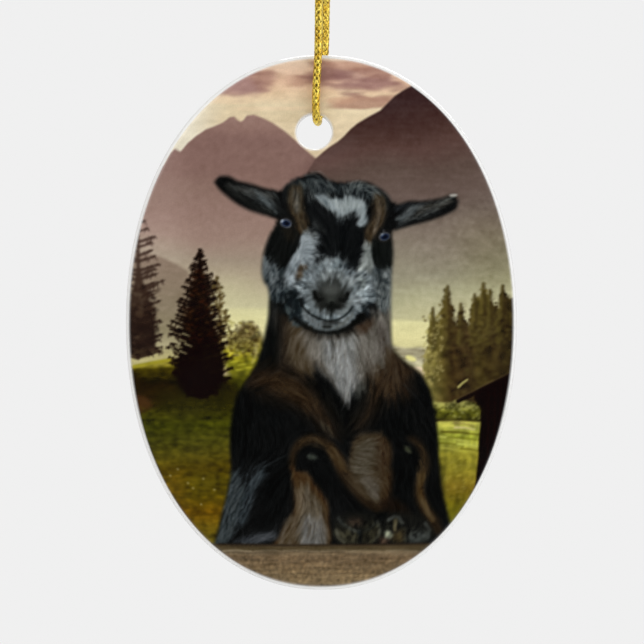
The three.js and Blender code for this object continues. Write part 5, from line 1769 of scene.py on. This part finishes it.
def soft_light(name, place, size, power, colour):
    """A square area light that shines at the plate's middle."""
    data = bpy.data.lights.new(name, "AREA")
    data.size = size
    data.energy = power
    data.color = colour
    light = bpy.data.objects.new(name, data)
    light.location = place
    aim = PLATE_CENTRE - light.location
    light.rotation_euler = aim.to_track_quat("-Z", "Y").to_euler()
    bpy.context.scene.collection.objects.link(light)


class ORNAMENT_OT_stage(bpy.types.Operator):
    """Set the pale studio, its soft lights and the camera"""

    bl_idname = "ornament.stage"
    bl_label = "Studio"

    def execute(self, context):
        settings = context.scene.ornament.stage
        scene = context.scene
        scene.view_settings.view_transform = "Standard"
        self.world(scene, settings)
        self.floor(settings)
        soft_light("key_light", (-0.75, -0.9, 0.65), 1.2, settings.key, (1, 0.99, 0.97))
        soft_light("side_light", (0.95, -0.7, 0.25), 1.2, settings.key * 0.95, (0.97, 0.985, 1))
        soft_light("back_light", (0.25, 0.95, 0.75), 0.9, settings.key * 1.1, (1, 1, 1))
        camera_data = bpy.data.cameras.new("camera")
        camera_data.lens = settings.lens
        camera_data.sensor_width = 36
        camera = bpy.data.objects.new("camera", camera_data)
        scene.collection.objects.link(camera)
        distance = settings.field / camera_data.sensor_width * settings.lens
        camera.location = (0.08 * MM, PRINT_FACE_Y - distance, PLATE_CENTRE.z + 0.07 * MM)
        camera.rotation_euler = (math.pi / 2, 0, 0)
        scene.camera = camera
        return {"FINISHED"}

    def world(self, scene, settings):
        """Pale behind the object, weaker as a light, and weaker still in reflections."""
        world = bpy.data.worlds.new("studio")
        world.use_nodes = True
        tree = world.node_tree
        background = tree.nodes["Background"]
        path = add_node(tree, "ShaderNodeLightPath")
        way = add_node(tree, "ShaderNodeTexCoord").outputs["Generated"]
        depth = add_node(tree, "ShaderNodeSeparateXYZ", {"Vector": way}).outputs["Y"]
        dim = settings.fill * 0.1
        mirrored = remap(tree, depth, (-0.5, 0.3), (dim, 0.8), interpolation_type="SMOOTHSTEP")
        unseen = add_node(
            tree, "ShaderNodeMix", {"Factor": path.outputs["Is Glossy Ray"], "A": settings.fill,
             "B": mirrored},
        ).outputs[0]
        strength = add_node(
            tree, "ShaderNodeMix", {"Factor": path.outputs["Is Camera Ray"], "A": unseen, "B": 1.0}
        ).outputs[0]
        background.inputs["Color"].default_value = (*settings.backdrop, 1)
        tree.links.new(strength, background.inputs["Strength"])
        scene.world = world

    def floor(self, settings):
        """A round pale floor whose edge fades into the backdrop."""
        turns = np.linspace(0, 2 * math.pi, 96, endpoint=False)
        height = PLATE_CENTRE.z - settings.floor_drop
        rings = []
        for radius in (0.02, 0.4, 0.8, 1.2, 1.6):
            ring = [np.cos(turns) * radius, np.sin(turns) * radius, np.full(turns.size, height)]
            rings.append(np.stack(ring, axis=1))
        faces = ring_faces(len(rings), turns.size)
        faces.append(tuple(range(turns.size))[::-1])
        material, tree, shader = new_material("pale_floor")
        place = add_node(tree, "ShaderNodeNewGeometry").outputs["Position"]
        flat = add_node(
            tree, "ShaderNodeVectorMath", {0: place, 1: (1, 1, 0)}, operation="MULTIPLY",
        ).outputs["Vector"]
        reach = add_node(tree, "ShaderNodeVectorMath", {0: flat}, operation="LENGTH").outputs["Value"]
        fade = remap(tree, reach, (0.5, 1.5), (1.0, 0.0), interpolation_type="SMOOTHSTEP")
        plug(tree, shader, Base_Color=(0.8, 0.8, 0.8, 1), Roughness=0.8, Specular_IOR_Level=0.2, Alpha=fade)
        new_object("floor", np.vstack(rings), faces, material)


class ORNAMENT_PT_panel(bpy.types.Panel):
    """Lists the ornament's pieces in the sidebar"""

    bl_label = "Ornament"
    bl_idname = "ORNAMENT_PT_panel"
    bl_space_type = "VIEW_3D"
    bl_region_type = "UI"
    bl_category = "Ornament"

    def draw(self, context):
        for operator in BUILDERS:
            self.layout.operator(operator.bl_idname)


SETTINGS = (PlateSettings, PictureSettings, CordSettings, StageSettings, OrnamentSettings)
BUILDERS = (ORNAMENT_OT_cord, ORNAMENT_OT_plate, ORNAMENT_OT_picture, ORNAMENT_OT_stage)


def register():
    for item in (*SETTINGS, *BUILDERS, ORNAMENT_PT_panel):
        bpy.utils.register_class(item)
    bpy.types.Scene.ornament = PointerProperty(type=OrnamentSettings)


def unregister():
    del bpy.types.Scene.ornament
    for item in reversed((*SETTINGS, *BUILDERS, ORNAMENT_PT_panel)):
        bpy.utils.unregister_class(item)


def main():
    register()
    bpy.ops.ornament.cord()
    bpy.ops.ornament.plate()
    bpy.ops.ornament.picture()
    bpy.ops.ornament.stage()


if __name__ == "__main__":
    main()
